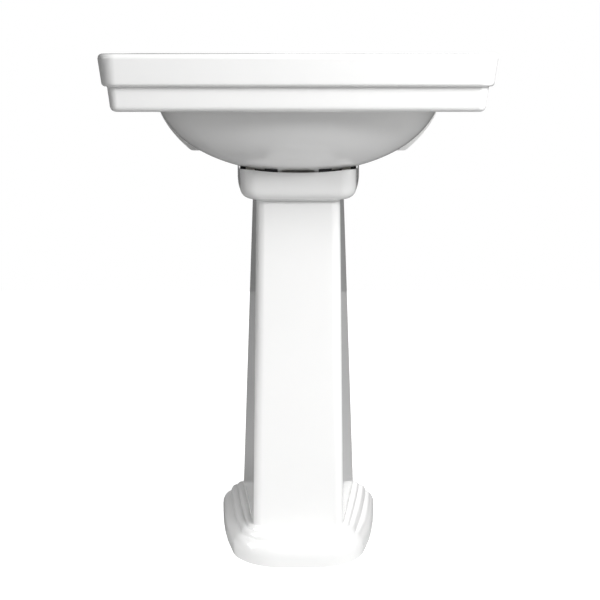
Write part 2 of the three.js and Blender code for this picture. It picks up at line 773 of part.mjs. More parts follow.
// The guide that the stem slides in, held in the middle of the bore by three arms.
function stopperCartridge() {
  const { radius, floor, lip, armWidth, armHeight } = cartridge;
  const throat = stem.radius + gap;
  let body = toSolid(
    turned([
      [0, cartridgeFoot],
      [radius, cartridgeFoot],
      [radius, cartridgeTop],
      [throat, cartridgeTop],
      [throat, cartridgeTop - lip],
      [cartridgeBore, cartridgeTop - lip],
      [cartridgeBore, cartridgeFoot + floor],
      [0, cartridgeFoot + floor],
    ]),
  );
  const inWaste = toSolid(bar(wasteBore - gap, cartridge.length, 0, 0, cartridgeFoot));
  const root = (radius + cartridgeBore) / 2;
  for (const turn of [90, 210, 330]) {
    const arm = new THREE.BoxGeometry(wasteBore - root, armWidth, armHeight);
    arm.translate((wasteBore + root) / 2, 0, cartridgeFoot + armHeight).rotateZ(radians(turn));
    body = body.add(toSolid(arm).intersect(inWaste));
  }
  return named("stopper_cartridge", toGeometry(body), nylon);
}

function stopperSpring() {
  const foot = cartridgeFoot + cartridge.floor + spring.wire + gap;
  const height = stemFoot - gap - spring.wire - foot;
  const steps = spring.turns * spring.stepsPerTurn;
  const radius = cartridgeBore - spring.clearance - spring.wire;
  const coil = Array.from({ length: steps + 1 }, (_, k) =>
    new THREE.Vector3(radius, 0, (height * k) / steps).applyAxisAngle(
      new THREE.Vector3(0, 0, 1),
      (2 * Math.PI * k) / spring.stepsPerTurn,
    ),
  );
  const wire = new THREE.Shape().absarc(0, 0, spring.wire, 0, 2 * Math.PI);
  const geometry = new THREE.ExtrudeGeometry(wire, {
    steps,
    bevelEnabled: false,
    curveSegments: 3,
    extrudePath: new Route(coil),
  });
  return named("stopper_spring", geometry, steel, [0, 0, foot]);
}

// ---- Trap, in the same frame as the waste ----
const tailTop = wasteBottom + tailpiece.overlap;
const tailFoot = tailTop - tailpiece.length;
const inletTop = tailFoot + trap.overlap;
const bendZ = inletTop - trap.inlet;
const outletTop = bendZ + trap.outlet;
const outletY = 2 * trap.bend;
const trapBottom = bendZ - trap.bend - trapRadius;
const plugMouth = trapBottom - cleanout.drop;
const armZ = outletTop + trapArm.rise + trapArm.bend;

function tailpieceTube() {
  return named("tailpiece", ring(tube.radius, tube.radius - tube.wall, tailFoot, tailpiece.length), chrome);
}

// The U of the trap, threaded at both ends, with a boss for the cleanout plug at its lowest point.
function trapBend() {
  const { wall, bend } = trap;
  const turn = bendPoints(bend, bendZ, bend, 180, 360, 10);
  const route = [inPlane(0, inletTop), ...turn, inPlane(outletY, outletTop)];
  let body = toSolid(pipe(route, trapRadius, wall));
  const { height } = trapThread;
  for (const [y, top] of [[0, inletTop], [outletY, outletTop]]) {
    const thread = ring(threadRadius, trapRadius - wall / 2, top - height, height);
    body = body.add(toSolid(thread.translate(0, y, 0)));
  }
  const { plugRadius, bossWall, drop, root } = cleanout;
  const boss = toSolid(bar(plugRadius + bossWall, drop + root, 0, bend, plugMouth));
  const bore = toSolid(pipe(route, trapRadius - wall, 0));
  const hole = toSolid(bar(plugRadius + gap, drop + trapRadius, 0, bend, plugMouth - gap));
  return named("trap_bend", toGeometry(body.add(boss.subtract(bore)).subtract(hole)), chrome);
}

function cleanoutPieces() {
  const { plugRadius, bossWall, headWidth, drop, seal, head } = cleanout;
  const headRadius = plugRadius + headWidth;
  const sealFootZ = plugMouth - gap - seal;
  const headTop = sealFootZ - gap;
  const plug = turned([
    [0, headTop - head],
    [headRadius, headTop - head],
    [headRadius, headTop],
    [plugRadius, headTop],
    [plugRadius, plugMouth + drop],
    [0, plugMouth + drop],
  ]);
  const under = [0, trap.bend, 0];
  const washer = ring(plugRadius + bossWall, plugRadius + gap, sealFootZ, seal);
  return [
    named("cleanout_seal", washer, rubber, under),
    named("cleanout_plug", plug, chrome, under),
  ];
}

// A nut that draws a pipe down onto a threaded end, and the washer that it squeezes.
function slipJoint(name, y, threadTop) {
  const washerFoot = threadTop + gap;
  const lipFoot = washerFoot + slipWasher + gap;
  const nutFoot = lipFoot + slipNut.lip - slipNut.height;
  const bore = tube.radius + gap;
  const acrossFlats = 2 * (threadRadius + gap + slipNut.wall);
  const shell = hexagon(acrossFlats, bore, slipNut.height).translate(0, 0, nutFoot);
  const socket = bar(threadRadius + gap, slipNut.height, 0, 0, lipFoot - slipNut.height);
  const washer = ring(threadRadius - gap, bore, washerFoot, slipWasher);
  return groupAt(
    [0, y, 0],
    named(name + "_nut", toGeometry(toSolid(shell).subtract(toSolid(socket))), chrome),
    named(name + "_washer", washer, rubber),
  );
}

function trapArmTube() {
  const { bend, overlap } = trapArm;
  const elbow = bendPoints(outletY + bend, armZ - bend, bend, 180, 90, 6);
  const wallEnd = wallY - drainY + wallEmbed;
  const route = [inPlane(outletY, outletTop - overlap), ...elbow, inPlane(wallEnd, armZ)];
  return named("trap_arm", pipe(route, tube.radius, tube.wall), chrome);
}

// The cover round the arm where it enters the wall, drawn upwards from the wall and then laid along -Y.
function wallEscutcheon() {
  const { width, depth, thickness, collar, crown } = escutcheon;
  const radius = tube.radius + width;
  const bore = tube.radius + gap;
  const outer = new THREE.Path()
    .moveTo(radius, 0)
    .quadraticCurveTo(radius - thickness, crown, bore + collar, crown)
    .quadraticCurveTo(bore + thickness, crown, bore + thickness, depth)
    .lineTo(bore, depth)
    .quadraticCurveTo(bore, crown - thickness, bore + collar, crown - thickness)
    .quadraticCurveTo(radius - 2 * thickness, crown - thickness, radius - thickness, 0)
    .getPoints(3);
  const cover = turned(outer.map(({ x, y }) => [x, y])).rotateX(Math.PI / 2);
  return named("wall_escutcheon", cover, chrome, [0, wallY - drainY - gap, armZ]);
}

// ---- The whole sink ----
const sink = new THREE.Group();
sink.add(basin(), overflowRing(), pedestal(), ...seatPads(), ...sides.map(wallBolt));
sink.add(
  groupAt(
    [0, drainY, seatZ],
    wasteBodyPiece(),
    ...wasteSeals(),
    ...stopperPieces(),
    stopperCartridge(),
    stopperSpring(),
    tailpieceTube(),
    slipJoint("trap_inlet", 0, inletTop),
    trapBend(),
    ...cleanoutPieces(),
    slipJoint("trap_outlet", outletY, outletTop),
    trapArmTube(),
    wallEscutcheon(),
  ),
);

export default sink;
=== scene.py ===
import math
import bmesh
import bpy
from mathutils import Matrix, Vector


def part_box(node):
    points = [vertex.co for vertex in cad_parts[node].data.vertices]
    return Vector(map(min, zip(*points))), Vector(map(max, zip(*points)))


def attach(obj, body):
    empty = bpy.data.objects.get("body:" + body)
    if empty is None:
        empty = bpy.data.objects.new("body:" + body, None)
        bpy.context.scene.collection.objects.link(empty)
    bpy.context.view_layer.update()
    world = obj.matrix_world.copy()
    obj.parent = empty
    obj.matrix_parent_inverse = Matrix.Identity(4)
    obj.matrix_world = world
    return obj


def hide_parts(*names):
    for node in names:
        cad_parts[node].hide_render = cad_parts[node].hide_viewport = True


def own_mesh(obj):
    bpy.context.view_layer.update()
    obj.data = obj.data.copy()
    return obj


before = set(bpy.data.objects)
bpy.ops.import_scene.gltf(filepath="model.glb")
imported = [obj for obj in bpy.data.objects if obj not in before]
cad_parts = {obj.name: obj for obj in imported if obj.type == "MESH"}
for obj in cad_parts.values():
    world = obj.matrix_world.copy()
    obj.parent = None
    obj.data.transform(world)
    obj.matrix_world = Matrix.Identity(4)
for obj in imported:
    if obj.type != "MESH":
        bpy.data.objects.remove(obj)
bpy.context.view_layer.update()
mm = 0.001
upAxis = (0, 0, 1)
wallAxis = (0, 1, 0)

# places that the plumbing, the bowl and the pedestal share
basinLow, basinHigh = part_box("basin")
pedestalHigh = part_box("pedestal")[1]
wasteLow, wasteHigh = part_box("waste_body")
rimZ = basinHigh.z
wallY = basinHigh.y
frontY = basinLow.y
basinHalf = basinHigh.x
drainY = (wasteLow.y + wasteHigh.y) / 2


# small tools that every piece uses
def clearSelection():
    if bpy.context.object and bpy.context.object.mode != "OBJECT":
        bpy.ops.object.mode_set(mode="OBJECT")
    bpy.ops.object.select_all(action="DESELECT")


def activate(piece):
    clearSelection()
    piece.select_set(True)
    bpy.context.view_layer.objects.active = piece


def selectAll():
    bpy.ops.mesh.select_all(action="SELECT")


def editMode():
    bpy.ops.object.mode_set(mode="EDIT")


def objectMode():
    bpy.ops.object.mode_set(mode="OBJECT")


def settle(name):
    # names the new primitive, drops its place into its mesh and opens it for editing
    piece = bpy.context.object
    piece.name = piece.data.name = name
    bpy.ops.object.transform_apply(location=True, rotation=True, scale=True)
    editMode()
    bpy.ops.mesh.select_mode(type="VERT")
    selectAll()
    return piece


def closeUp(piece, weld=0.0):
    if weld:
        selectAll()
        bpy.ops.mesh.remove_doubles(threshold=weld)
    selectAll()
    bpy.ops.mesh.normals_make_consistent(inside=False)
    objectMode()
    return piece


def pick(piece, test, kind="VERT"):
    # selects the corners, edges or faces whose every corner passes the test
    bpy.ops.mesh.select_mode(type=kind)
    bpy.ops.mesh.select_all(action="DESELECT")
    mesh = bmesh.from_edit_mesh(piece.data)
    group = {"VERT": mesh.verts, "EDGE": mesh.edges, "FACE": mesh.faces}[kind]
    for item in group:
        corners = [item] if kind == "VERT" else item.verts
        if all(test(corner.co) for corner in corners):
            item.select = True
    mesh.select_flush_mode()
    bmesh.update_edit_mesh(piece.data)


def layDown(piece, centre):
    # turns an upright piece so that its height runs away from the wall
    activate(piece)
    editMode()
    selectAll()
    bpy.ops.transform.rotate(value=math.radians(-90), orient_axis="X", center_override=centre)
    objectMode()


def push(x=0, y=0, z=0):
    bpy.ops.mesh.extrude_region_move(TRANSFORM_OT_translate={"value": (x, y, z)})


def stretch(x, y, z, centre):
    bpy.ops.transform.resize(value=(x, y, z), center_override=centre)


def shift(x, y, z):
    bpy.ops.transform.translate(value=(x, y, z))


def useModifier(piece, kind, **values):
    activate(piece)
    modifier = piece.modifiers.new(kind.lower(), kind)
    for name, value in values.items():
        setattr(modifier, name, value)
    bpy.ops.object.modifier_apply(modifier=modifier.name)


def joinSolid(piece, tool, operation):
    # operation is UNION, DIFFERENCE or INTERSECT, and the tool is used up
    useModifier(piece, "BOOLEAN", object=tool, operation=operation, solver="EXACT",
                material_mode="TRANSFER")
    bpy.data.objects.remove(tool, do_unlink=True)


def shadeSoft(piece, angle=32, weighted=True):
    activate(piece)
    bpy.ops.object.shade_smooth_by_angle(angle=math.radians(angle))
    if weighted:
        useModifier(piece, "WEIGHTED_NORMAL", keep_sharp=True, weight=60)


def rodSection(radius, low, high):
    # the section of a plain round bar, to turn
    return [(0, low), (radius, low), (radius, high), (0, high)]


def bend(start, corner, end, count):
    # points of a rounded corner in a section, without its first point
    points = []
    for k in range(1, count + 1):
        t = k / count
        points.append(tuple((1 - t) ** 2 * a + 2 * t * (1 - t) * b + t * t * c
                            for a, b, c in zip(start, corner, end)))
    return points


def insetSteps(steps):
    # carries the selected face on through (inset, drop) points of a section
    for (inset, drop), (nextInset, nextDrop) in zip(steps, steps[1:]):
        bpy.ops.mesh.inset(thickness=(nextInset - inset), depth=(nextDrop - drop))


def stackRings(rings):
    # carries the selected face on through rings of (height, middle, half width, half depth)
    for (z, y, halfX, halfY), (nextZ, nextY, nextX, nextHalfY) in zip(rings, rings[1:]):
        push(0, nextY - y, nextZ - z)
        stretch(nextX / halfX, nextHalfY / halfY, 1, (0, nextY, nextZ))


# finishes, each built from a few shared effects
def newGroup(name, inputs, outputs):
    tree = bpy.data.node_groups.new(name, "ShaderNodeTree")
    for label, kind, value in inputs:
        item = tree.interface.new_socket(label, in_out="INPUT", socket_type=kind)
        if value is not None:
            item.default_value = value
    for label, kind in outputs:
        tree.interface.new_socket(label, in_out="OUTPUT", socket_type=kind)
    return tree, tree.nodes.new("NodeGroupInput"), tree.nodes.new("NodeGroupOutput")


def addNode(tree, kind, values=None, **settings):
    node = tree.nodes.new(kind)
    for name, value in settings.items():
        setattr(node, name, value)
    for name, value in (values or {}).items():
        node.inputs[name].default_value = value
    return node


def join(tree, start, outName, end, inName):
    tree.links.new(start.outputs[outName], end.inputs[inName])


def addGroup(tree, group, place, **values):
    # sets an effect into a material, fed by the piece's own coordinates
    node = addNode(tree, "ShaderNodeGroup", values, node_tree=group)
    join(tree, place, "Object", node, "Position")
    if "Facing" in node.inputs:
        join(tree, place, "Normal", node, "Facing")
    return node


def makeWaver():
    # slow and fine unevenness of a surface, and a soft variation for its colour
    tree, start, end = newGroup(
        "surfaceWaver",
        [("Position", "NodeSocketVector", None), ("Slow", "NodeSocketFloat", 12.0),
         ("Fine", "NodeSocketFloat", 120.0)],
        [("Height", "NodeSocketFloat"), ("Variation", "NodeSocketFloat")])
    slow = addNode(tree, "ShaderNodeTexNoise", {"Detail": 2.0, "Roughness": 0.4})
    fine = addNode(tree, "ShaderNodeTexNoise", {"Detail": 2.0, "Roughness": 0.5})
    cloud = addNode(tree, "ShaderNodeTexNoise", {"Detail": 4.0, "Roughness": 0.6})
    part = addNode(tree, "ShaderNodeMath", {1: 0.12}, operation="MULTIPLY")
    total = addNode(tree, "ShaderNodeMath", operation="ADD")
    for texture, scale in ((slow, "Slow"), (fine, "Fine"), (cloud, "Slow")):
        join(tree, start, "Position", texture, "Vector")
        join(tree, start, scale, texture, "Scale")
    join(tree, fine, "Fac", part, 0)
    join(tree, slow, "Fac", total, 0)
    join(tree, part, "Value", total, 1)
    join(tree, total, "Value", end, "Height")
    join(tree, cloud, "Fac", end, "Variation")
    return tree


def makeDust():
    # a mask of dust that settles on what faces up, in uneven patches
    tree, start, end = newGroup(
        "settledDust",
        [("Position", "NodeSocketVector", None), ("Facing", "NodeSocketVector", None),
         ("Amount", "NodeSocketFloat", 0.3)],
        [("Mask", "NodeSocketFloat")])
    split = addNode(tree, "ShaderNodeSeparateXYZ")
    up = addNode(tree, "ShaderNodeMapRange", {"From Min": 0.35, "From Max": 0.95}, clamp=True)
    patch = addNode(tree, "ShaderNodeTexNoise", {"Scale": 45.0, "Detail": 5.0, "Roughness": 0.7})
    spread = addNode(tree, "ShaderNodeMapRange", {"From Min": 0.35, "From Max": 0.75}, clamp=True)
    both = addNode(tree, "ShaderNodeMath", operation="MULTIPLY")
    scaled = addNode(tree, "ShaderNodeMath", operation="MULTIPLY")
    join(tree, start, "Facing", split, "Vector")
    join(tree, split, "Z", up, "Value")
    join(tree, start, "Position", patch, "Vector")
    join(tree, patch, "Fac", spread, "Value")
    join(tree, up, "Result", both, 0)
    join(tree, spread, "Result", both, 1)
    join(tree, both, "Value", scaled, 0)
    join(tree, start, "Amount", scaled, 1)
    join(tree, scaled, "Value", end, "Mask")
    return tree


def makeGrain():
    # fine lines that run round an upright or lying axis, left by a lathe or a brush
    tree, start, end = newGroup(
        "latheGrain",
        [("Position", "NodeSocketVector", None), ("Stretch", "NodeSocketVector", (8.0, 8.0, 900.0))],
        [("Height", "NodeSocketFloat"), ("Mask", "NodeSocketFloat")])
    scale = addNode(tree, "ShaderNodeVectorMath", operation="MULTIPLY")
    lines = addNode(tree, "ShaderNodeTexNoise", {"Scale": 1.0, "Detail": 3.0, "Roughness": 0.6})
    streak = addNode(tree, "ShaderNodeMapRange", {"From Min": 0.4, "From Max": 0.7}, clamp=True)
    join(tree, start, "Position", scale, 0)
    join(tree, start, "Stretch", scale, 1)
    join(tree, scale, "Vector", lines, "Vector")
    join(tree, lines, "Fac", streak, "Value")
    join(tree, lines, "Fac", end, "Height")
    join(tree, streak, "Result", end, "Mask")
    return tree


def makeWear():
    # a mask of the rubbed outer edges, broken up by noise
    tree, start, end = newGroup(
        "edgeWear",
        [("Position", "NodeSocketVector", None), ("Pointiness", "NodeSocketFloat", 0.5),
         ("Amount", "NodeSocketFloat", 0.6)],
        [("Mask", "NodeSocketFloat")])
    edge = addNode(tree, "ShaderNodeMapRange", {"From Min": 0.52, "From Max": 0.6}, clamp=True)
    broken = addNode(tree, "ShaderNodeTexNoise", {"Scale": 300.0, "Detail": 4.0})
    both = addNode(tree, "ShaderNodeMath", operation="MULTIPLY")
    scaled = addNode(tree, "ShaderNodeMath", operation="MULTIPLY")
    join(tree, start, "Pointiness", edge, "Value")
    join(tree, start, "Position", broken, "Vector")
    join(tree, edge, "Result", both, 0)
    join(tree, broken, "Fac", both, 1)
    join(tree, both, "Value", scaled, 0)
    join(tree, start, "Amount", scaled, 1)
    join(tree, scaled, "Value", end, "Mask")
    return tree


waver, dust, grain, wear = makeWaver(), makeDust(), makeGrain(), makeWear()


def newFinish(name, **constants):
    # a material with its place and facing nodes, and its constant values on the shader
    material = bpy.data.materials.new(name)
    material.use_nodes = True
    tree = material.node_tree
    shader = tree.nodes["Principled BSDF"]
    for label, value in constants.items():
        shader.inputs[label.replace("_", " ")].default_value = value
    place = addNode(tree, "ShaderNodeTexCoord")
    return material, tree, shader, place


def colourBetween(tree, shader, first, second):
    mix = addNode(tree, "ShaderNodeMix", data_type="RGBA")
    mix.inputs["A"].default_value = (*first, 1)
    mix.inputs["B"].default_value = (*second, 1)
    tree.links.new(mix.outputs["Result"], shader.inputs["Base Color"])
    return mix


def roughBetween(tree, shader, low, high):
    spread = addNode(tree, "ShaderNodeMapRange", {"To Min": low, "To Max": high}, clamp=True)
    join(tree, spread, "Result", shader, "Roughness")
    return spread


def bumpFrom(tree, shader, source, output, distance, strength):
    bump = addNode(tree, "ShaderNodeBump", {"Strength": strength, "Distance": distance})
    join(tree, source, output, bump, "Height")
    join(tree, bump, "Normal", shader, "Normal")


def makeGlaze():
    material, tree, shader, place = newFinish(
        "whiteGlaze", Specular_IOR_Level=0.5, Coat_Weight=1.0, Coat_Roughness=0.045, Coat_IOR=1.52)
    ripple = addGroup(tree, waver, place, Slow=11.0, Fine=70.0)
    colour = colourBetween(tree, shader, (0.925, 0.927, 0.922), (0.945, 0.944, 0.938))
    join(tree, ripple, "Variation", colour, "Factor")
    rough = roughBetween(tree, shader, 0.24, 0.36)
    join(tree, ripple, "Variation", rough, "Value")
    bumpFrom(tree, shader, ripple, "Height", 0.0012, 0.35)
    return material


def makeBisque():
    material, tree, shader, place = newFinish("bareChina", Specular_IOR_Level=0.35)
    rough = addGroup(tree, waver, place, Slow=90.0, Fine=900.0)
    colour = colourBetween(tree, shader, (0.80, 0.775, 0.73), (0.88, 0.865, 0.83))
    join(tree, rough, "Variation", colour, "Factor")
    spread = roughBetween(tree, shader, 0.75, 0.95)
    join(tree, rough, "Variation", spread, "Value")
    bumpFrom(tree, shader, rough, "Height", 0.0006, 0.5)
    return material


def makeChrome():
    material, tree, shader, place = newFinish("polishedChrome", Metallic=1.0)
    soft = addGroup(tree, waver, place, Slow=60.0, Fine=500.0)
    film = addGroup(tree, dust, place, Amount=0.35)
    colour = colourBetween(tree, shader, (0.83, 0.84, 0.85), (0.62, 0.61, 0.58))
    join(tree, film, "Mask", colour, "Factor")
    total = addNode(tree, "ShaderNodeMath", operation="ADD")
    join(tree, soft, "Variation", total, 0)
    join(tree, film, "Mask", total, 1)
    rough = roughBetween(tree, shader, 0.04, 0.3)
    rough.inputs["From Min"].default_value = 0.3
    rough.inputs["From Max"].default_value = 1.6
    join(tree, total, "Value", rough, "Value")
    bumpFrom(tree, shader, soft, "Height", 0.0002, 0.12)
    return material


def makeMetal(name, first, second, stretch, low, high, strength):
    # machined or plated metal with lathe lines and rubbed edges
    material, tree, shader, place = newFinish(name, Metallic=1.0)
    lines = addGroup(tree, grain, place, Stretch=stretch)
    rubbed = addGroup(tree, wear, place, Amount=0.7)
    shape = addNode(tree, "ShaderNodeNewGeometry")
    join(tree, shape, "Pointiness", rubbed, "Pointiness")
    colour = colourBetween(tree, shader, first, second)
    join(tree, lines, "Mask", colour, "Factor")
    less = addNode(tree, "ShaderNodeMath", operation="SUBTRACT", use_clamp=True)
    join(tree, lines, "Mask", less, 0)
    join(tree, rubbed, "Mask", less, 1)
    rough = roughBetween(tree, shader, low, high)
    join(tree, less, "Value", rough, "Value")
    bumpFrom(tree, shader, lines, "Height", 0.0002, strength)
    return material


def makeSoft(name, first, second, low, high, slow, fine, amount, **constants):
    # rubber or nylon, with a little dust on top
    material, tree, shader, place = newFinish(name, **constants)
    skin = addGroup(tree, waver, place, Slow=slow, Fine=fine)
    film = addGroup(tree, dust, place, Amount=amount)
    colour = colourBetween(tree, shader, first, second)
    join(tree, film, "Mask", colour, "Factor")
    rough = roughBetween(tree, shader, low, high)
    join(tree, skin, "Variation", rough, "Value")
    bumpFrom(tree, shader, skin, "Height", 0.0003, 0.3)
    return material


def clearBehind(tree, shader):
    # the surface isn't there when it is seen from its back
    side = addNode(tree, "ShaderNodeNewGeometry")
    front = addNode(tree, "ShaderNodeMath", {0: 1.0}, operation="SUBTRACT")
    join(tree, side, "Backfacing", front, 1)
    join(tree, front, "Value", shader, "Alpha")


def makeFloorFinish():
    # pale, glowing a little, white to the camera, and clear when it is seen from below
    material, tree, shader, place = newFinish("paleFloor", Emission_Strength=1.0)
    soft = addGroup(tree, waver, place, Slow=1.5, Fine=40.0)
    colour = colourBetween(tree, shader, (0.48, 0.48, 0.48), (0.5, 0.5, 0.5))
    join(tree, soft, "Variation", colour, "Factor")
    path = addNode(tree, "ShaderNodeLightPath")
    glow = addNode(tree, "ShaderNodeMix", data_type="RGBA")
    glow.inputs["A"].default_value = (floorGlow, floorGlow, floorGlow, 1)
    glow.inputs["B"].default_value = (1, 1, 1, 1)
    join(tree, path, "Is Camera Ray", glow, "Factor")
    tree.links.new(glow.outputs["Result"], shader.inputs["Emission Color"])
    clearBehind(tree, shader)
    rough = roughBetween(tree, shader, 0.7, 0.8)
    join(tree, soft, "Variation", rough, "Value")
    return material


def makeShadeFinish():
    material, tree, shader, _ = newFinish("shadeCard", Roughness=0.9, Base_Color=(0.02, 0.02, 0.02, 1))
    clearBehind(tree, shader)
    return material


floorGlow = 0.02          # of the floor, for everything but the camera
finishes = {
    "glazed_china": makeGlaze(),
    "bisque": makeBisque(),
    "chrome": makeChrome(),
    "brass": makeMetal("machinedBrass", (0.76, 0.57, 0.26), (0.66, 0.48, 0.21), (9, 9, 1100),
                       0.22, 0.4, 0.25),
    "zinc_steel": makeMetal("zincPlate", (0.66, 0.68, 0.70), (0.57, 0.58, 0.58), (60, 700, 60),
                            0.28, 0.45, 0.2),
    "rubber": makeSoft("blackRubber", (0.028, 0.028, 0.03), (0.06, 0.058, 0.055), 0.6, 0.8, 120, 1400, 0.3,
                       Specular_IOR_Level=0.4),
    "nylon": makeSoft("naturalNylon", (0.80, 0.77, 0.69), (0.70, 0.67, 0.60), 0.35, 0.5, 90, 900, 0.4,
                      Subsurface_Weight=0.1, Subsurface_Scale=0.004),
    "floor": makeFloorFinish(),
    "shade": makeShadeFinish(),
}
print("finishes", len(finishes))


# basin: two stepped bands, a bowl, and lugs that hang it on the wall
basinSizes = {
    "frontCorner": 30 * mm,      # plan radius
    "rimRound": 8.5 * mm,
    "upperHeight": 50 * mm,
    "upperDraft": 4.5 * mm,
    "upperRound": 7.5 * mm,
    "lowerHeight": 39 * mm,
    "lowerInset": 13.5 * mm,
    "lowerDraft": 3 * mm,
    "lowerRound": 12 * mm,
    "fillet": 2 * mm,
    "apronWall": 13 * mm,
    "backWall": 14 * mm,
    "deck": 14 * mm,
    "spareBack": 20 * mm,        # trimmed off flush with the wall at the end
}
bowlSizes = {
    "sideDeck": 70 * mm,
    "frontDeck": 58 * mm,
    "backDeck": 98 * mm,
    "depth": 176 * mm,
    "sideWall": 11.5 * mm,
    "endWall": 17 * mm,
    "floorWall": 25.5 * mm,
    "innerFullness": 3.4,
    "outerFullness": 2.8,
    "drift": 12 * mm,
    "lip": 8 * mm,
    "cage": 0.8363,              # how far the diagonal corners of the oval's cage stand out
    "grow": 1.0577,              # cage size over oval size
}
openingHalfX = basinHalf - bowlSizes["sideDeck"]
openingHalfY = (wallY - frontY - bowlSizes["frontDeck"] - bowlSizes["backDeck"]) / 2
bowlY = frontY + bowlSizes["frontDeck"] + openingHalfY


def bandForm(name, inset, height, upSteps, downSteps, backAt):
    # a rounded block with stepped sides, cut off flat at the back
    spare = 60 * mm
    half = basinHalf - inset
    near = frontY + inset
    far = wallY + spare
    bpy.ops.mesh.primitive_plane_add(size=2, location=(0, (near + far) / 2, height))
    piece = settle(name)
    stretch(half, (far - near) / 2, 1, (0, (near + far) / 2, height))
    pick(piece, lambda co: co.y < wallY)
    bpy.ops.mesh.bevel(affect="VERTICES", offset=max(basinSizes["frontCorner"] - inset, 4 * mm),
                       segments=14, profile=0.5)
    bpy.ops.mesh.select_mode(type="FACE")
    selectAll()
    if not upSteps:
        bpy.ops.mesh.flip_normals()
    insetSteps(upSteps or downSteps)
    pick(piece, lambda co: abs(co.z - height) < 1e-6, "EDGE")
    bpy.ops.mesh.edge_face_add()
    selectAll()
    bpy.ops.mesh.normals_make_consistent(inside=False)
    if upSteps:
        pick(piece, lambda co: abs(co.z - height) < 1e-6, "FACE")
        insetSteps(downSteps)
    selectAll()
    bpy.ops.mesh.bisect(plane_co=(0, backAt, 0), plane_no=wallAxis, use_fill=True, clear_outer=True)
    return closeUp(piece)


def ovalFace(name, halfX, halfY, middle, height, levels=4):
    # an eight-cornered cage, smoothed into a squarish oval and joined into one face
    centre = (0, middle, height)
    grow = bowlSizes["grow"]
    bpy.ops.mesh.primitive_circle_add(vertices=8, radius=1, fill_type="NGON", location=centre)
    piece = settle(name)
    stretch(halfX * grow, halfY * grow, 1, centre)
    pick(piece, lambda co: abs(co.x) > 0.3 * halfX and abs(co.y - middle) > 0.3 * halfY)
    corner = bowlSizes["cage"] * math.sqrt(2)
    stretch(corner, corner, 1, centre)
    objectMode()
    useModifier(piece, "SUBSURF", levels=levels, render_levels=levels, boundary_smooth="ALL")
    editMode()
    bpy.ops.mesh.select_mode(type="FACE")
    selectAll()
    bpy.ops.mesh.dissolve_faces()
    return piece


def bowlRing(turn, halfX, halfY, depth, fullness):
    # (height, middle, half width, half depth) of the bowl at a turn from its rim to its lowest point
    fall = math.sin(turn) ** (2 / fullness)
    width = math.cos(turn)
    return rimZ - depth * fall, bowlY + bowlSizes["drift"] * fall ** 2, halfX * width, halfY * width


def bowlForm(name, swell=0.0, inner=False, rings=44):
    s = bowlSizes
    if inner:
        halfX, halfY, depth, fullness = openingHalfX, openingHalfY, s["depth"], s["innerFullness"]
        stack = [(rimZ + 3 * s["lip"], bowlY, halfX + s["lip"], halfY + s["lip"])]
        for k in range(9):
            turn = math.radians(90 - 90 * k / 8)
            out = s["lip"] * (1 - math.cos(turn))
            clear = 0.03 * mm if k == 0 else 0      # the lip's edge crosses the deck and never lies in it
            stack.append((rimZ + clear - s["lip"] * (1 - math.sin(turn)), bowlY, halfX + out, halfY + out))
        first = math.asin((s["lip"] / depth) ** (fullness / 2))
    else:
        halfX = openingHalfX + s["sideWall"] + swell
        halfY = openingHalfY + s["endWall"] + swell
        depth = s["depth"] + s["floorWall"] + swell
        fullness = s["outerFullness"]
        stack = [(rimZ - basinSizes["deck"] / 2, bowlY, halfX, halfY)]
        first = math.asin((basinSizes["deck"] / 2 / depth) ** (fullness / 2))
    last = math.radians(87)
    for k in range(1, rings + 1):
        share = (k / rings) ** 1.5
        stack.append(bowlRing(first + (last - first) * share, halfX, halfY, depth, fullness))
    z, y, x, yHalf = stack[0]
    piece = ovalFace(name, x, yHalf, y, z)
    stackRings(stack)
    return closeUp(piece)


def turned(name, profile, centre, axis=upAxis, steps=64):
    # a piece turned from (radius, height) points that close on themselves or on the axis
    points = [Vector((centre[0] + r, centre[1], centre[2] + h)) for r, h in profile]
    bpy.ops.mesh.primitive_plane_add(size=2 * mm, location=points[0])
    piece = settle(name)
    bpy.ops.mesh.merge(type="CENTER")
    onAxis = profile[0][0] == 0 and profile[-1][0] == 0
    for a, b in zip(points, points[1:] + ([] if onAxis else points[:1])):
        push(*(b - a))
    selectAll()
    bpy.ops.mesh.remove_doubles(threshold=1e-7)
    selectAll()
    bpy.ops.mesh.spin(steps=steps, angle=2 * math.pi, center=centre, axis=upAxis)
    closeUp(piece, weld=2e-6)
    if axis == wallAxis:
        layDown(piece, centre)
    return piece


def upperBandSteps():
    s = basinSizes
    return [(0, 0)] + bend((0, 0), (0, s["rimRound"]), (s["rimRound"], s["rimRound"]), 7)


def lowerBandSteps():
    s = basinSizes
    top = s["rimRound"]
    ledge = s["upperHeight"] - top
    foot = ledge + s["lowerHeight"]
    draft = s["upperDraft"]
    inset = s["lowerInset"]
    slope = inset + s["lowerDraft"]
    steps = [(0, 0), (draft, ledge - s["upperRound"])]
    steps += bend(steps[-1], (draft, ledge), (draft + s["upperRound"], ledge), 6)
    steps += bend(steps[-1], (inset, ledge), (inset, ledge + s["fillet"]), 5)
    steps += [(slope, foot - s["lowerRound"])]
    steps += bend(steps[-1], (slope, foot), (slope + s["lowerRound"], foot), 8)
    return steps


def drawOutline(name, points):
    # a flat face with its corners at the given points
    bpy.ops.mesh.primitive_plane_add(size=2 * mm, location=points[0])
    piece = settle(name)
    bpy.ops.mesh.merge(type="CENTER")
    for a, b in zip(points, points[1:]):
        push(*(Vector(b) - Vector(a)))
    selectAll()
    bpy.ops.mesh.edge_face_add()
    return piece


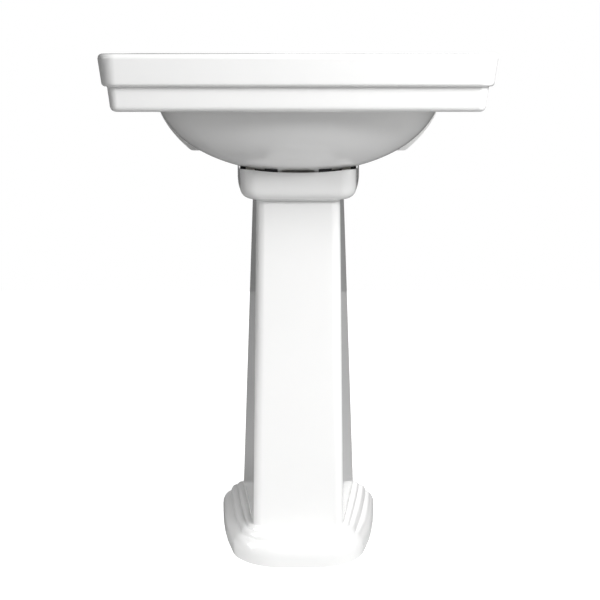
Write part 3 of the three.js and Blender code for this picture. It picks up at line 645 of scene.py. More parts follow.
def slab(name, points, thickness, soften=0.0):
    # an outline pushed through by (x, y, z), with its long edges softened
    piece = drawOutline(name, points)
    push(*thickness)
    if soften:
        selectAll()
        bpy.ops.mesh.bevel(offset=soften, segments=3, profile=0.5, clamp_overlap=True)
        bpy.ops.mesh.quads_convert_to_tris()
    return closeUp(piece)


def block(name, size, centre, turn=0.0, soften=0.0):
    bpy.ops.mesh.primitive_cube_add(size=1, location=centre, rotation=(0, 0, turn), scale=size)
    piece = settle(name)
    if soften:
        bpy.ops.mesh.bevel(offset=soften, segments=3, profile=0.5)
    return closeUp(piece)


def roundedSection(inner, low, outer, high, soften):
    # a closed section of a ring with softened outer corners, counter-clockwise
    points = [(inner, low), (outer - soften, low)]
    points += bend(points[-1], (outer, low), (outer, low + soften), 3)
    points += [(outer, high - soften)]
    points += bend(points[-1], (outer, high), (outer - soften, high), 3)
    return points + [(inner, high)]


def threadPoints(outer, depth, low, high, pitch):
    # the outer edge of a section with a thread from low to high
    count = max(1, round((high - low) / pitch))
    points = []
    for k in range(count):
        foot = low + (high - low) * k / count
        points += [(outer - depth, foot), (outer, foot + 0.4 * (high - low) / count)]
    return points + [(outer - depth, high)]


lugSizes = {
    "depth": 183 * mm,
    "rootInset": 39 * mm,
    "waistInset": 50 * mm,
    "footInset": 98 * mm,
    "footWidth": 98 * mm,
    "corner": 10 * mm,
    "soften": 1.5 * mm,
    "proud": 0.4 * mm,           # of the panel that it hangs from
    "webThickness": 12 * mm,
    "webFromBolt": 36 * mm,
    "webRoot": 20 * mm,
    "boltHole": 7 * mm,
}
holeSizes = {
    "tapRadius": 17.5 * mm,
    "tapSpacing": 101.6 * mm,
    "tapFromWall": 48 * mm,
    "tapSoften": 1.5 * mm,
    "overflowRadius": 11 * mm,
    "overflowFace": 15.5 * mm,
    "overflowDeep": 8.5 * mm,
    "overflowInset": 0.9 * mm,   # of its flat into the bowl's back
    "drainRadius": 22.5 * mm,
    "seatWidth": 10.5 * mm,
    "bossWidth": 14.5 * mm,
    "gasketGap": 0.3 * mm,
}
overflowLow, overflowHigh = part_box("overflow_ring")
overflowZ = (overflowLow.z + overflowHigh.z) / 2
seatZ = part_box("flange_gasket")[0].z - holeSizes["gasketGap"]
boltLow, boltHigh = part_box("wall_bolt_right")
boltX, boltZ = (boltLow.x + boltHigh.x) / 2, (boltLow.z + boltHigh.z) / 2


def wallLug(side):
    s = lugSizes
    near = wallY - basinSizes["backWall"] - s["proud"]
    foot = basinHalf - s["footInset"]
    inner = foot - s["footWidth"]
    root = basinHalf - s["rootInset"]
    waist = basinHalf - s["waistInset"]
    top, apron = basinSizes["upperHeight"], basinSizes["upperHeight"] + basinSizes["lowerHeight"]
    depth, corner = s["depth"], s["corner"]
    outline = [(inner, top), (root, top), (root, apron)]
    outline += bend(outline[-1], (waist, (apron + depth) / 2), (foot, depth - corner / 2), 12)
    outline += bend(outline[-1], (foot - corner / 2, depth), (foot - corner, depth), 5)
    outline += [(inner + corner, depth)]
    outline += bend(outline[-1], (inner, depth), (inner, depth - corner), 5)
    points = [(side * x, near, rimZ - drop) for x, drop in outline]
    return slab("wallLug", points, (0, basinSizes["backWall"] + basinSizes["spareBack"] / 2, 0))


def lugWeb(side):
    s = lugSizes
    root = bowlY + openingHalfY - s["webRoot"]
    face = wallY - basinSizes["backWall"]
    deep = face + basinSizes["backWall"] / 2
    top = basinSizes["deck"] / 2
    apron = basinSizes["upperHeight"] + basinSizes["lowerHeight"]
    foot = s["depth"] - s["corner"]
    outline = [(root, top), (deep, top), (deep, foot), (face - s["webThickness"] / 2, foot), (root, apron)]
    x = side * (boltX - s["webFromBolt"]) - s["webThickness"] / 2
    points = [(x, y, rimZ - drop) for y, drop in outline]
    return slab("lugWeb", points, (s["webThickness"], 0, 0), s["soften"])


def basinCutters():
    h = holeSizes
    soften = h["tapSoften"]
    drain = [(0, -40 * mm), (h["drainRadius"], -40 * mm), (h["drainRadius"], 0)]
    seat = h["drainRadius"] + h["seatWidth"]
    drain += [(seat, 0), (seat, 1 * mm)] + bend((seat, 1 * mm), (seat, 3 * mm), (seat + 5 * mm, 5 * mm), 5)
    drain += [(seat + 5 * mm, 25 * mm), (0, 25 * mm)]
    yield turned("drainCutter", drain, (0, drainY, seatZ))
    flatY = bowlY + openingHalfY - h["overflowInset"]
    hole = [(0, -h["overflowDeep"]), (h["overflowRadius"], -h["overflowDeep"]), (h["overflowRadius"], 0),
            (h["overflowFace"], 0), (h["overflowFace"] + 2 * mm, 18 * mm), (0, 18 * mm)]
    yield turned("overflowCutter", hole, (0, flatY, overflowZ), wallAxis)
    r = h["tapRadius"]
    tap = [(0, -30 * mm), (r, -30 * mm), (r, -soften)] + bend((r, -soften), (r, 0), (r + soften, 0), 4)
    tap += [(r + soften, 8 * mm), (0, 8 * mm)]
    for place in (-1, 0, 1):
        yield turned("tapCutter", tap, (place * h["tapSpacing"], wallY - h["tapFromWall"], rimZ))
    boltHole = rodSection(lugSizes["boltHole"], -60 * mm, 30 * mm)
    for side in (-1, 1):
        yield turned("boltCutter", boltHole, (side * boltX, wallY, boltZ), wallAxis)


def makeBasin():
    s = basinSizes
    basin = bandForm("basinChina", 0, rimZ - s["rimRound"], upperBandSteps(), lowerBandSteps(),
                     wallY + s["spareBack"])
    wall = s["apronWall"]
    spaceSteps = [
        (0, 0),
        (s["upperDraft"], s["upperHeight"] - wall / 2 - s["deck"]),
        (s["lowerInset"], s["upperHeight"] + wall / 2 - s["deck"]),
        (s["lowerInset"] + s["lowerDraft"], s["upperHeight"] + s["lowerHeight"] + 2 * mm - s["deck"]),
    ]
    basin.data.materials.append(finishes["glazed_china"])
    space = bandForm("underDeckSpace", wall, rimZ - s["deck"], None, spaceSteps, wallY - s["backWall"])
    space.data.materials.append(finishes["bisque"])
    joinSolid(basin, space, "DIFFERENCE")
    joinSolid(basin, bowlForm("bowlOutside"), "UNION")
    for side in (-1, 1):
        joinSolid(basin, wallLug(side), "UNION")
        joinSolid(basin, lugWeb(side), "UNION")
    bossRadius = holeSizes["drainRadius"] + holeSizes["bossWidth"]
    boss = roundedSection(0, basinLow.z - seatZ, bossRadius, 0, 2 * mm)
    joinSolid(basin, turned("drainBoss", boss, (0, drainY, seatZ)), "UNION")
    joinSolid(basin, bowlForm("bowlInside", inner=True), "DIFFERENCE")
    for cutter in basinCutters():
        joinSolid(basin, cutter, "DIFFERENCE")
    trim = s["spareBack"] * 4
    middle = (rimZ + basinLow.z) / 2
    back = block("backTrim", (1, trim, 1), (0, wallY + trim / 2, middle))
    back.data.materials.append(finishes["bisque"])
    joinSolid(basin, back, "DIFFERENCE")
    return basin


# pedestal: a flared foot, a tapered column and a capital under the bowl
pedestalSizes = {
    "columnTop": {"frontHalf": 71 * mm, "backHalf": 83.5 * mm, "front": 50 * mm, "back": 135 * mm,
                  "corner": 17 * mm, "bow": 0},
    "columnFoot": {"frontHalf": 79 * mm, "backHalf": 107.5 * mm, "front": 57 * mm, "back": 185.5 * mm,
                   "corner": 17 * mm, "bow": 0},
    "capital": {"frontHalf": 97 * mm, "backHalf": 111.5 * mm, "front": 70 * mm, "back": 135 * mm,
                "corner": 28 * mm, "bow": 1 * mm},
    "plinth": {"frontHalf": 102.5 * mm, "backHalf": 148.5 * mm, "front": 99 * mm, "back": 185.5 * mm,
               "corner": 88 * mm, "bow": 8 * mm},
    "wall": 12 * mm,
    "backReturn": 18 * mm,
    "plinthHeight": 61 * mm,
    "capitalHeight": 57 * mm,
    "capitalUnder": 23 * mm,
    "capitalLift": 2 * mm,
    "capitalEdge": 4 * mm,
    "seatGap": 5.2 * mm,
    "lugWidth": 34 * mm,
    "lugLength": 40 * mm,
    "lugHeight": 14 * mm,
    "screwHole": 5 * mm,
    "cornerSteps": 16,
}
sideShares = [0.45, 0.62, 0.8]


def mixed(a, b, share):
    return {key: a[key] + (b[key] - a[key]) * share for key in a}


def shrunk(plan, inset, stretchBack):
    return {**plan, "frontHalf": plan["frontHalf"] - inset, "backHalf": plan["backHalf"] - inset,
            "front": plan["front"] - inset, "back": plan["back"] + stretchBack,
            "corner": max(plan["corner"] - inset, 2 * mm)}


def planLoop(name, plan, z):
    # the outline of the pedestal at one height, as a loop of edges
    near, far = drainY - plan["front"], drainY + plan["back"]
    middle = (0, (near + far) / 2, z)
    bpy.ops.mesh.primitive_plane_add(size=2, location=middle)
    piece = settle(name)
    stretch(plan["backHalf"], (far - near) / 2, 1, middle)
    pick(piece, lambda co: co.y < middle[1])
    stretch(plan["frontHalf"] / plan["backHalf"], 1, 1, (0, near, z))
    for side in (-1, 1):
        pick(piece, lambda co: co.x * side > 0, "EDGE")
        bpy.ops.mesh.subdivide(number_cuts=len(sideShares))
    bpy.ops.mesh.select_mode(type="FACE")
    selectAll()
    bpy.ops.mesh.dissolve_faces()
    spacing = 1 / (len(sideShares) + 1)
    for k in reversed(range(len(sideShares))):
        share, at = sideShares[k], (k + 1) * spacing
        y = near + (far - near) * at
        pick(piece, lambda co: abs(co.y - y) < 1e-5)
        span = plan["backHalf"] - plan["frontHalf"]
        bowed = plan["frontHalf"] + span * share + 4 * plan["bow"] * share * (1 - share)
        stretch(bowed / (plan["frontHalf"] + span * at), 1, 1, (0, y, z))
        shift(0, (far - near) * (share - at), 0)
    share = sideShares[0]
    out = (plan["backHalf"] - plan["frontHalf"]) * share + 4 * plan["bow"] * share * (1 - share)
    cornerAngle = math.pi / 2 + math.atan2(out, (far - near) * share)
    pick(piece, lambda co: co.y < near + 1e-5)
    bpy.ops.mesh.bevel(affect="VERTICES", offset=plan["corner"] / math.tan(cornerAngle / 2),
                       segments=pedestalSizes["cornerSteps"], profile=0.5)
    selectAll()
    bpy.ops.mesh.delete(type="ONLY_FACE")
    objectMode()
    return piece


def planStack(name, stations):
    # skins (height, plan, section) stations: a section gives the heights of the loops between this
    # station and the one below as points of (share, height), the share running from below to here
    piece = planLoop(name, stations[0][1], stations[0][0])
    for (low, _, _), (high, plan, section) in zip(stations, stations[1:]):
        loop = planLoop("nextLoop", plan, high)
        activate(piece)
        loop.select_set(True)
        bpy.ops.object.join()
        editMode()
        pick(piece, lambda co: min(abs(co.z - low), abs(co.z - high)) < 1e-6, "EDGE")
        cuts = 60 if section else 0
        bpy.ops.mesh.bridge_edge_loops(number_cuts=cuts, interpolation="LINEAR", smoothness=0)
        if section:
            liftLoops(piece, low, high, cuts, section)
        objectMode()
    editMode()
    for z in (stations[0][0], stations[-1][0]):
        pick(piece, lambda co: abs(co.z - z) < 1e-6, "EDGE")
        bpy.ops.mesh.edge_face_add()
    return closeUp(piece)


def liftLoops(piece, low, high, cuts, section):
    mesh = bmesh.from_edit_mesh(piece.data)
    bpy.ops.mesh.select_mode(type="VERT")
    levels = []
    for k in range(1, cuts + 1):
        z = low + (high - low) * k / (cuts + 1)
        levels.append((k / (cuts + 1), z, [v.index for v in mesh.verts if abs(v.co.z - z) < 2e-6]))
    for share, z, members in levels:
        bpy.ops.mesh.select_all(action="DESELECT")
        mesh = bmesh.from_edit_mesh(piece.data)
        mesh.verts.ensure_lookup_table()
        for index in members:
            mesh.verts[index].select = True
        mesh.select_flush_mode()
        shift(0, 0, heightAt(section, share) - z)


def heightAt(section, share):
    for (share0, z0), (share1, z1) in zip(section, section[1:]):
        if share0 <= share <= share1:
            return z0 + (z1 - z0) * (share - share0) / max(share1 - share0, 1e-9)
    return section[-1][1]


def pedestalForm(name):
    p = pedestalSizes
    height = p["plinthHeight"]
    tread, upper = 0.7 * height, 0.9 * height
    full = 0.26 * height
    # shares run from the full plinth, 0, to the column, 1
    plinthSection = [(0, full)] + bend((0, full), (0.02, 0.6 * height), (0.4, tread), 24)
    plinthSection += bend((0.4, tread), (0.45, upper), (0.71, upper), 24)
    plinthSection += bend((0.71, upper), (0.75, height), (0.98, height), 24) + [(1, height + 2 * mm)]
    top = pedestalHigh.z
    foot = top - p["capitalHeight"]
    under, edge = foot + p["capitalUnder"], top - p["capitalEdge"]
    capitalSection = [(0, foot - 2 * mm)] + [(0.06, foot)]
    capitalSection += bend((0.06, foot), (1, foot + p["capitalLift"]), (1, under), 40)
    topPlan = mixed(p["columnTop"], p["capital"], 0.84)
    edgeSection = [(0, edge)] + bend((0, edge), (0, top), (1, top), 24)
    stations = [
        (0, p["plinth"], None),
        (full, p["plinth"], None),
        (height + 2 * mm, p["columnFoot"], plinthSection),
        (foot - 2 * mm, p["columnTop"], None),
        (under, p["capital"], capitalSection),
        (edge, p["capital"], None),
        (top, topPlan, edgeSection),
    ]
    return planStack(name, stations)


def pedestalHollow(name, inset, stretchBack):
    p = pedestalSizes
    top = pedestalHigh.z
    foot = top - p["capitalHeight"]
    stations = [
        (-2 * mm, p["plinth"]),
        (p["plinthHeight"] / 3, p["plinth"]),
        (p["plinthHeight"] - p["wall"] / 2, p["columnFoot"]),
        (foot + p["wall"] / 2, p["columnTop"]),
        (foot + p["capitalUnder"], p["capital"]),
        (top + 2 * mm, p["capital"]),
    ]
    return planStack(name, [(z, shrunk(plan, inset, stretchBack), None) for z, plan in stations])


def makePedestal():
    p = pedestalSizes
    pedestal = pedestalForm("pedestalChina")
    pedestal.data.materials.append(finishes["glazed_china"])
    for name, inset, stretchBack in (("columnSpace", p["wall"], -p["wall"]),
                                     ("backSlot", p["wall"] + p["backReturn"], p["wall"])):
        hollow = pedestalHollow(name, inset, stretchBack)
        hollow.data.materials.append(finishes["bisque"])
        joinSolid(pedestal, hollow, "DIFFERENCE")
    lugY = drainY + p["plinth"]["back"] - p["wall"] - p["lugLength"] / 2
    lugX = p["plinth"]["backHalf"] - p["wall"] - p["lugWidth"] / 2 - p["plinth"]["bow"]
    for side in (-1, 1):
        size = (p["lugWidth"] + p["wall"], p["lugLength"] + p["wall"] / 2, p["lugHeight"])
        centre = (side * (lugX + p["wall"] / 2), lugY, p["lugHeight"] / 2)
        joinSolid(pedestal, block("floorLug", size, centre, soften=1 * mm), "UNION")
        hole = rodSection(p["screwHole"], -5 * mm, 30 * mm)
        joinSolid(pedestal, turned("screwCutter", hole, (side * lugX, lugY, 0)), "DIFFERENCE")
    joinSolid(pedestal, bowlForm("bowlScoop", swell=p["seatGap"]), "DIFFERENCE")
    for face in pedestal.data.polygons:
        if face.center.z < 0.1 * mm:
            face.material_index = 1        # the foot is left without glaze
    return pedestal


def addPiece(piece, node, slot, body="sink", angle=32, weighted=True):
    # shades a finished piece, gives it its slot's finish and stands it in for its CAD node
    shadeSoft(piece, angle, weighted)
    if not any(piece.data.materials):
        piece.data.materials.clear()
        piece.data.materials.append(finishes[slot])
        piece.data.polygons.foreach_set("material_index", [0] * len(piece.data.polygons))
    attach(piece, body)
    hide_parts(node)
    print("piece", node, len(piece.data.polygons))
    return piece


basin = addPiece(makeBasin(), "basin", "glazed_china")
pedestal = addPiece(makePedestal(), "pedestal", "glazed_china")


# rubber pads between the bowl and the top of the pedestal
padSizes = {"length": 22 * mm, "width": 9 * mm, "clear": 0.3 * mm, "soften": 1 * mm}


def makePad(node, turn):
    low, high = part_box(node)
    p = padSizes
    centre = ((low.x + high.x) / 2, (low.y + high.y) / 2, low.z)
    pad = block(node + "Rubber", (p["length"], p["width"], 60 * mm), centre, turn)
    activate(pad)
    editMode()
    pick(pad, lambda co: True, "EDGE")
    bpy.ops.mesh.bevel(offset=p["soften"], segments=3, profile=0.5)
    closeUp(pad)
    joinSolid(pad, bowlForm("padOuter", swell=pedestalSizes["seatGap"] - p["clear"]), "INTERSECT")
    joinSolid(pad, bowlForm("padInner", swell=p["clear"]), "DIFFERENCE")
    return addPiece(pad, node, "rubber")


capitalPlan = pedestalSizes["capital"]
seatSlope = math.atan2(capitalPlan["backHalf"] - capitalPlan["frontHalf"],
                       capitalPlan["back"] + capitalPlan["front"] - pedestalSizes["wall"] / 2)
for hand, side in (("left", -1), ("right", 1)):
    makePad("seat_pad_front_" + hand, 0)
    makePad("seat_pad_side_" + hand, side * (math.pi / 2 - seatSlope))

# overflow ring, pressed into the hole at the back of the bowl
overflowSizes = {"bore": 9 * mm, "tube": 10.7 * mm, "radius": 14.5 * mm, "edge": 0.9 * mm,
                 "lip": 1.8 * mm, "length": 7 * mm}


def makeOverflowRing():
    bore, tube, radius, edge, lip, length = overflowSizes.values()
    section = [(bore, -2 * edge)] + bend((bore, -2 * edge), (bore, 0), (bore + 1.6 * edge, 0), 5)
    section += [(radius - edge, 0)]
    section += bend(section[-1], (radius, 0), (radius, -edge), 4)
    section += [(radius, -lip), (tube, -lip), (tube, -length), (bore, -length)]
    centre = (0, overflowLow.y, overflowZ)
    addPiece(turned("overflowTrim", section, centre, wallAxis), "overflow_ring", "chrome")


makeOverflowRing()

# waste and its seals, with heights from the seat of the flange
wasteSizes = {
    "bore": 16.5 * mm,
    "radius": 19 * mm,
    "foot": 1.8 * mm,
    "top": 4.3 * mm,
    "rim": 31 * mm,
    "edge": 1 * mm,
    "slope": 2 * mm,
    "mouth": 4 * mm,
    "threadDepth": 0.7 * mm,
    "threadHigh": -34 * mm,
    "pitch": 2 * mm,
    "window": (20 * mm, 80 * mm, 12 * mm),
    "windowAt": -12.5 * mm,
    "sealBore": 19.3 * mm,
    "nutFlats": 50 * mm,
}
wasteCentre = (0, drainY, seatZ)


def heights(node, base=None):
    # the lowest and highest point of a CAD node over a base height
    low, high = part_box(node)
    start = seatZ if base is None else base
    return low.z - start, high.z - start


def makeWaste():
    w = wasteSizes
    bottom = heights("waste_body")[0]
    bore, radius, rim, top, foot = w["bore"], w["radius"], w["rim"], w["top"], w["foot"]
    section = [(bore, bottom)]
    section += threadPoints(radius, w["threadDepth"], bottom + 1 * mm, w["threadHigh"], w["pitch"])
    section += [(radius, w["threadHigh"] + 0.5 * mm), (radius, foot), (rim - w["edge"], foot)]
    section += bend(section[-1], (rim, foot), (rim, foot + w["edge"]), 4)
    section += bend(section[-1], (rim, top - 0.3 * mm), (rim - w["slope"], top), 5)
    section += [(bore + w["mouth"] + 1.5 * mm, top)]
    section += bend(section[-1], (bore + w["mouth"], top), (bore + w["mouth"] - 1 * mm, top - 1 * mm), 5)
    section += [(bore, top - w["mouth"])]
    waste = turned("wasteTube", section, wasteCentre)
    window = block("overflowWindow", w["window"], (0, drainY, seatZ + w["windowAt"]), soften=2 * mm)
    joinSolid(waste, window, "DIFFERENCE")
    addPiece(waste, "waste_body", "chrome", weighted=False)


def makeRing(node, slot, soften, body="sink"):
    # a flat ring with softened edges, as wide and high as its CAD node
    low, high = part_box(node)
    outer = (high.x - low.x) / 2
    bore = ringBores[node]
    deep = high.z - low.z
    section = roundedSection(bore, 0, outer, deep, soften)
    centre = ((low.x + high.x) / 2, (low.y + high.y) / 2, low.z)
    addPiece(turned(node + "Ring", section, centre), node, slot, body)


gasketSizes = {
    "outer": 30 * mm,
    "nose": 3 * mm,              # reaches up into the drain hole
    "noseFoot": 22.2 * mm,
    "noseSide": 21.9 * mm,
    "noseTop": 21.8 * mm,
    "noseRound": 0.6 * mm,
    "taper": 4 * mm,
    "land": 1 * mm,
    "soften": (0.7 * mm, 0.8 * mm),        # foot and shoulder
}
ringBores = {
    "flange_gasket": wasteSizes["sealBore"],
    "friction_washer": wasteSizes["sealBore"],
    "stopper_seal": 15 * mm,
    "trap_inlet_washer": 16.3 * mm,
    "trap_outlet_washer": 16.3 * mm,
    "cleanout_seal": 9.3 * mm,
}


def makeBasinGasket():
    low, high = heights("basin_gasket")
    bore = wasteSizes["sealBore"]
    outer, nose, noseFoot, noseSide, noseTop, noseRound, taper, land, (foot, shoulder) = gasketSizes.values()
    section = [(bore, low), (outer - taper - land, low)]
    section += bend(section[-1], (outer - taper, low), (outer - taper + foot, low + foot), 3)
    section += [(outer - shoulder, low + taper - shoulder)]
    section += bend(section[-1], (outer, low + taper), (outer, low + taper + land), 3)
    section += [(outer, high - nose), (noseFoot, high - nose), (noseSide, high - noseRound)]
    section += bend(section[-1], (noseTop, high), (noseTop - noseRound, high), 3) + [(bore, high)]
    addPiece(turned("basinGasketRubber", section, wasteCentre), "basin_gasket", "rubber")


def hexNut(name, centre, flats, low, high, hollow, axis=upAxis):
    # a six-sided bar with turned corners, bored out by a (radius, height) section
    reach = flats / math.sqrt(3)
    middle = (centre[0], centre[1], centre[2] + (low + high) / 2)
    bpy.ops.mesh.primitive_cylinder_add(vertices=6, radius=reach, depth=high - low, location=middle,
                                        rotation=(0, 0, math.pi / 6))
    nut = settle(name)
    closeUp(nut)
    slope = math.tan(math.radians(30))
    land, over, spare = 0.97 * flats / 2, reach + 0.1 * mm, 1 * mm
    rise = (over - land) * slope
    barrel = [(0, low - spare), (land - spare / slope, low - spare), (over, low + rise), (over, high - rise),
              (land - spare / slope, high + spare), (0, high + spare)]
    joinSolid(nut, turned("nutBarrel", barrel, centre), "INTERSECT")
    joinSolid(nut, turned("nutBore", hollow, centre), "DIFFERENCE")
    if axis == wallAxis:
        layDown(nut, centre)
    return nut


def plainBore(radius, low, high, chamfer=0.8 * mm):
    # the section of a hole with a chamfer at each mouth
    spare = 1 * mm
    return [(0, low - spare), (radius + chamfer + spare, low - spare), (radius, low + chamfer),
            (radius, high - chamfer), (radius + chamfer + spare, high + spare), (0, high + spare)]


makeWaste()
makeBasinGasket()
for node, slot, soften in (("flange_gasket", "rubber", 0.4 * mm), ("friction_washer", "nylon", 0.4 * mm)):
    makeRing(node, slot, soften)
nutLow, nutHigh = heights("lock_nut")
lockNut = hexNut("lockNutBrass", wasteCentre, wasteSizes["nutFlats"], nutLow, nutHigh,
                 plainBore(wasteSizes["sealBore"], nutLow, nutHigh))
addPiece(lockNut, "lock_nut", "brass")

# stopper: cap, seal and stem move together, the guide and its spring stay in the waste
stopperSizes = {
    "radius": 26 * mm,
    "edge": 1.5 * mm,
    "thickness": 3 * mm,
    "stem": 3.5 * mm,
    "foot": 6.9 * mm,
    "footHeight": 3 * mm,
    "neck": 14.7 * mm,
    "neckHeight": 3 * mm,
    "chamfer": 0.4 * mm,
    "fillet": 1 * mm,
    "guide": 9 * mm,
    "guideWall": 1.8 * mm,
    "guideFloor": 2 * mm,
    "throat": 3.8 * mm,
    "arm": 4 * mm,
    "armHeight": 6 * mm,
    "armReach": 16 * mm,
    "armTurns": (90, 210, 330),
    "armLift": 3 * mm,
    "armSoften": 0.5 * mm,
    "guideSoften": (0.6 * mm, 0.8 * mm),   # foot and top
    "wire": 0.7 * mm,
    "coil": 5.4 * mm,
    "turns": 5,
}


def makeStopper():
    s = stopperSizes
    radius, edge, thick = s["radius"], s["edge"], s["thickness"]
    foot, top = heights("stopper_cap", 0)
    crown = top - foot
    section = [(0, 0), (radius - edge, 0)]
    section += bend(section[-1], (radius, 0), (radius, edge), 5)
    section += bend(section[-1], (radius, thick), (radius - 2 * edge, thick), 8)
    section += bend(section[-1], (radius / 2, crown), (0, crown), 16)
    dome = turned("stopperDome", section, (0, drainY, foot), steps=96)
    addPiece(dome, "stopper_cap", "chrome", "stopper", 40)
    makeRing("stopper_seal", "rubber", 0.6 * mm, "stopper")
    foot, top = heights("stopper_stem", 0)
    length = top - foot
    neck = length - s["neckHeight"]
    wide, rise, rod, disc, chamfer = s["foot"], s["footHeight"], s["stem"], s["neck"], s["chamfer"]
    section = [(0, 0), (wide - chamfer, 0), (wide, chamfer), (wide, rise - chamfer),
               (wide - chamfer, rise), (rod, rise), (rod, neck - s["fillet"])]
    section += bend(section[-1], (rod, neck), (rod + s["fillet"], neck), 3)
    section += [(disc - chamfer, neck), (disc, neck + chamfer), (disc, length), (0, length)]
    addPiece(turned("stopperRod", section, (0, drainY, foot)), "stopper_stem", "brass", "stopper")


def makeGuide():
    s = stopperSizes
    foot, top = heights("stopper_cartridge", 0)
    deep = top - foot
    outer, bore, lip = s["guide"], s["guide"] - s["guideWall"], s["guideFloor"]
    low, high = s["guideSoften"]
    section = [(0, 0), (outer - low, 0)] + bend((outer - low, 0), (outer, 0), (outer, low), 3)
    section += [(outer, deep - high)] + bend((outer, deep - high), (outer, deep), (outer - high, deep), 3)
    section += [(s["throat"], deep), (s["throat"], deep - lip), (bore, deep - lip), (bore, lip), (0, lip)]
    guide = turned("stopperGuide", section, (0, drainY, foot))
    root = bore + s["guideWall"] / 2
    out = (root + s["armReach"]) / 2
    size = (s["armReach"] - root, s["arm"], s["armHeight"])
    for turn in s["armTurns"]:
        angle = math.radians(turn)
        centre = (out * math.cos(angle), drainY + out * math.sin(angle), foot + s["armLift"] + size[2] / 2)
        arm = block("guideArm", size, centre, angle, s["armSoften"])
        joinSolid(guide, arm, "UNION")
    addPiece(guide, "stopper_cartridge", "nylon")


def makeSpring():
    s = stopperSizes
    foot, top = heights("stopper_spring", 0)
    wire = s["wire"]
    rise = top - foot - 2 * wire
    bpy.ops.mesh.primitive_circle_add(vertices=12, radius=wire, location=(s["coil"], drainY, foot + wire),
                                      rotation=(math.pi / 2, 0, 0))
    spring = settle("stopperCoil")
    shift(0, -drainY, -foot - wire)
    objectMode()
    useModifier(spring, "SCREW", axis="Z", screw_offset=rise / s["turns"], iterations=s["turns"], steps=36,
                render_steps=36, use_smooth_shade=True)
    editMode()
    selectAll()
    shift(0, drainY, foot + wire)
    selectAll()
    bpy.ops.mesh.fill_holes(sides=0)
    closeUp(spring)
    addPiece(spring, "stopper_spring", "zinc_steel", angle=60, weighted=False)
    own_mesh(spring)


makeStopper()
makeGuide()
makeSpring()

# tailpiece, trap and the arm into the wall
trapSizes = {
    "tube": 16 * mm,
    "tubeWall": 1.3 * mm,
    "bend": 18.6 * mm,
    "bendWall": 1.5 * mm,
    "thread": 21 * mm,
    "threadHeight": 14 * mm,
    "threadDepth": 0.7 * mm,
    "pitch": 2.3 * mm,
    "legFoot": 432.3 * mm,
    "outletY": 53.5 * mm,
    "outletTop": 474.3 * mm,
    "boss": 13 * mm,
    "bossTop": 14 * mm,
    "bossSoften": 0.8 * mm,
    "plugHole": 9.3 * mm,
    "armBend": 34 * mm,
    "armBendFoot": 494.3 * mm,
    "nutFlats": 46 * mm,
    "nutSocket": 21.3 * mm,
    "nutBore": 16.3 * mm,
    "nutRoof": 4 * mm,
}


def pipeForm(name, radius, start, lengths, sides=60):
    # a round bar: each length is a push (x, y, z) or a turn (middle, angle, steps) about the X axis
    bpy.ops.mesh.primitive_circle_add(vertices=sides, radius=radius, fill_type="NGON", location=start)
    piece = settle(name)
    bpy.ops.mesh.select_mode(type="FACE")
    selectAll()
    for kind, *values in lengths:
        if kind == "push":
            push(*values)
        else:
            middle, angle, steps = values
            bpy.ops.mesh.spin(steps=steps, angle=angle, center=middle, axis=(1, 0, 0))
    return closeUp(piece, weld=2e-6)


def makeTailpiece():
    t = trapSizes
    low, high = heights("tailpiece", 0)
    inner, outer, chamfer = t["tube"] - t["tubeWall"], t["tube"], 0.3 * mm
    section = [(inner, 0), (outer - chamfer, 0), (outer, chamfer), (outer, high - low - chamfer),
               (outer - chamfer, high - low), (inner, high - low)]
    addPiece(turned("tailpieceTube", section, (0, drainY, low)), "tailpiece", "chrome")


def threadCollar(y, top):
    t = trapSizes
    low = -t["threadHeight"]
    section = [(0, low)] + threadPoints(t["thread"], t["threadDepth"], low, -0.6 * mm, t["pitch"])
    section += [(t["thread"] - t["threadDepth"] - 0.6 * mm, 0), (0, 0)]
    return turned("threadCollar", section, (0, y, top))


def makeTrap():
    t = trapSizes
    low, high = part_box("trap_bend")
    outletTop, foot, outletY = t["outletTop"], t["legFoot"], t["outletY"]
    middle = (0, (drainY + outletY) / 2, foot)
    skin = 0.3 * mm
    turn = ("turn", middle, -math.pi, 40)
    path = [("push", 0, 0, foot - high.z + skin), turn, ("push", 0, 0, outletTop - foot - skin)]
    trap = pipeForm("trapPipe", t["bend"], (0, drainY, high.z - skin), path)
    joinSolid(trap, threadCollar(drainY, high.z), "UNION")
    joinSolid(trap, threadCollar(outletY, outletTop), "UNION")
    boss = roundedSection(0, 0, t["boss"], t["bossTop"], t["bossSoften"])
    joinSolid(trap, turned("plugBoss", boss, (0, middle[1], low.z)), "UNION")
    spare = 5 * mm
    path = [("push", 0, 0, foot - high.z - spare), turn, ("push", 0, 0, outletTop - foot + spare)]
    bore = pipeForm("trapBore", t["bend"] - t["bendWall"], (0, drainY, high.z + spare), path)
    joinSolid(trap, bore, "DIFFERENCE")
    hole = rodSection(t["plugHole"], -spare, t["bossTop"] + 2 * mm)
    joinSolid(trap, turned("plugHole", hole, (0, middle[1], low.z)), "DIFFERENCE")
    addPiece(trap, "trap_bend", "chrome", weighted=False)


plugSizes = {
    "head": 12 * mm,
    "headHeight": 5 * mm,
    "chamfer": 0.6 * mm,
    "thread": 9 * mm,
    "threadDepth": 0.6 * mm,
    "pitch": 1.6 * mm,
    "neckHeight": 2.4 * mm,      # plain shank under the thread, where the seal sits
    "lead": 0.8 * mm,
    "slot": (16 * mm, 2.6 * mm, 4 * mm),
    "slotSoften": 0.4 * mm,
}


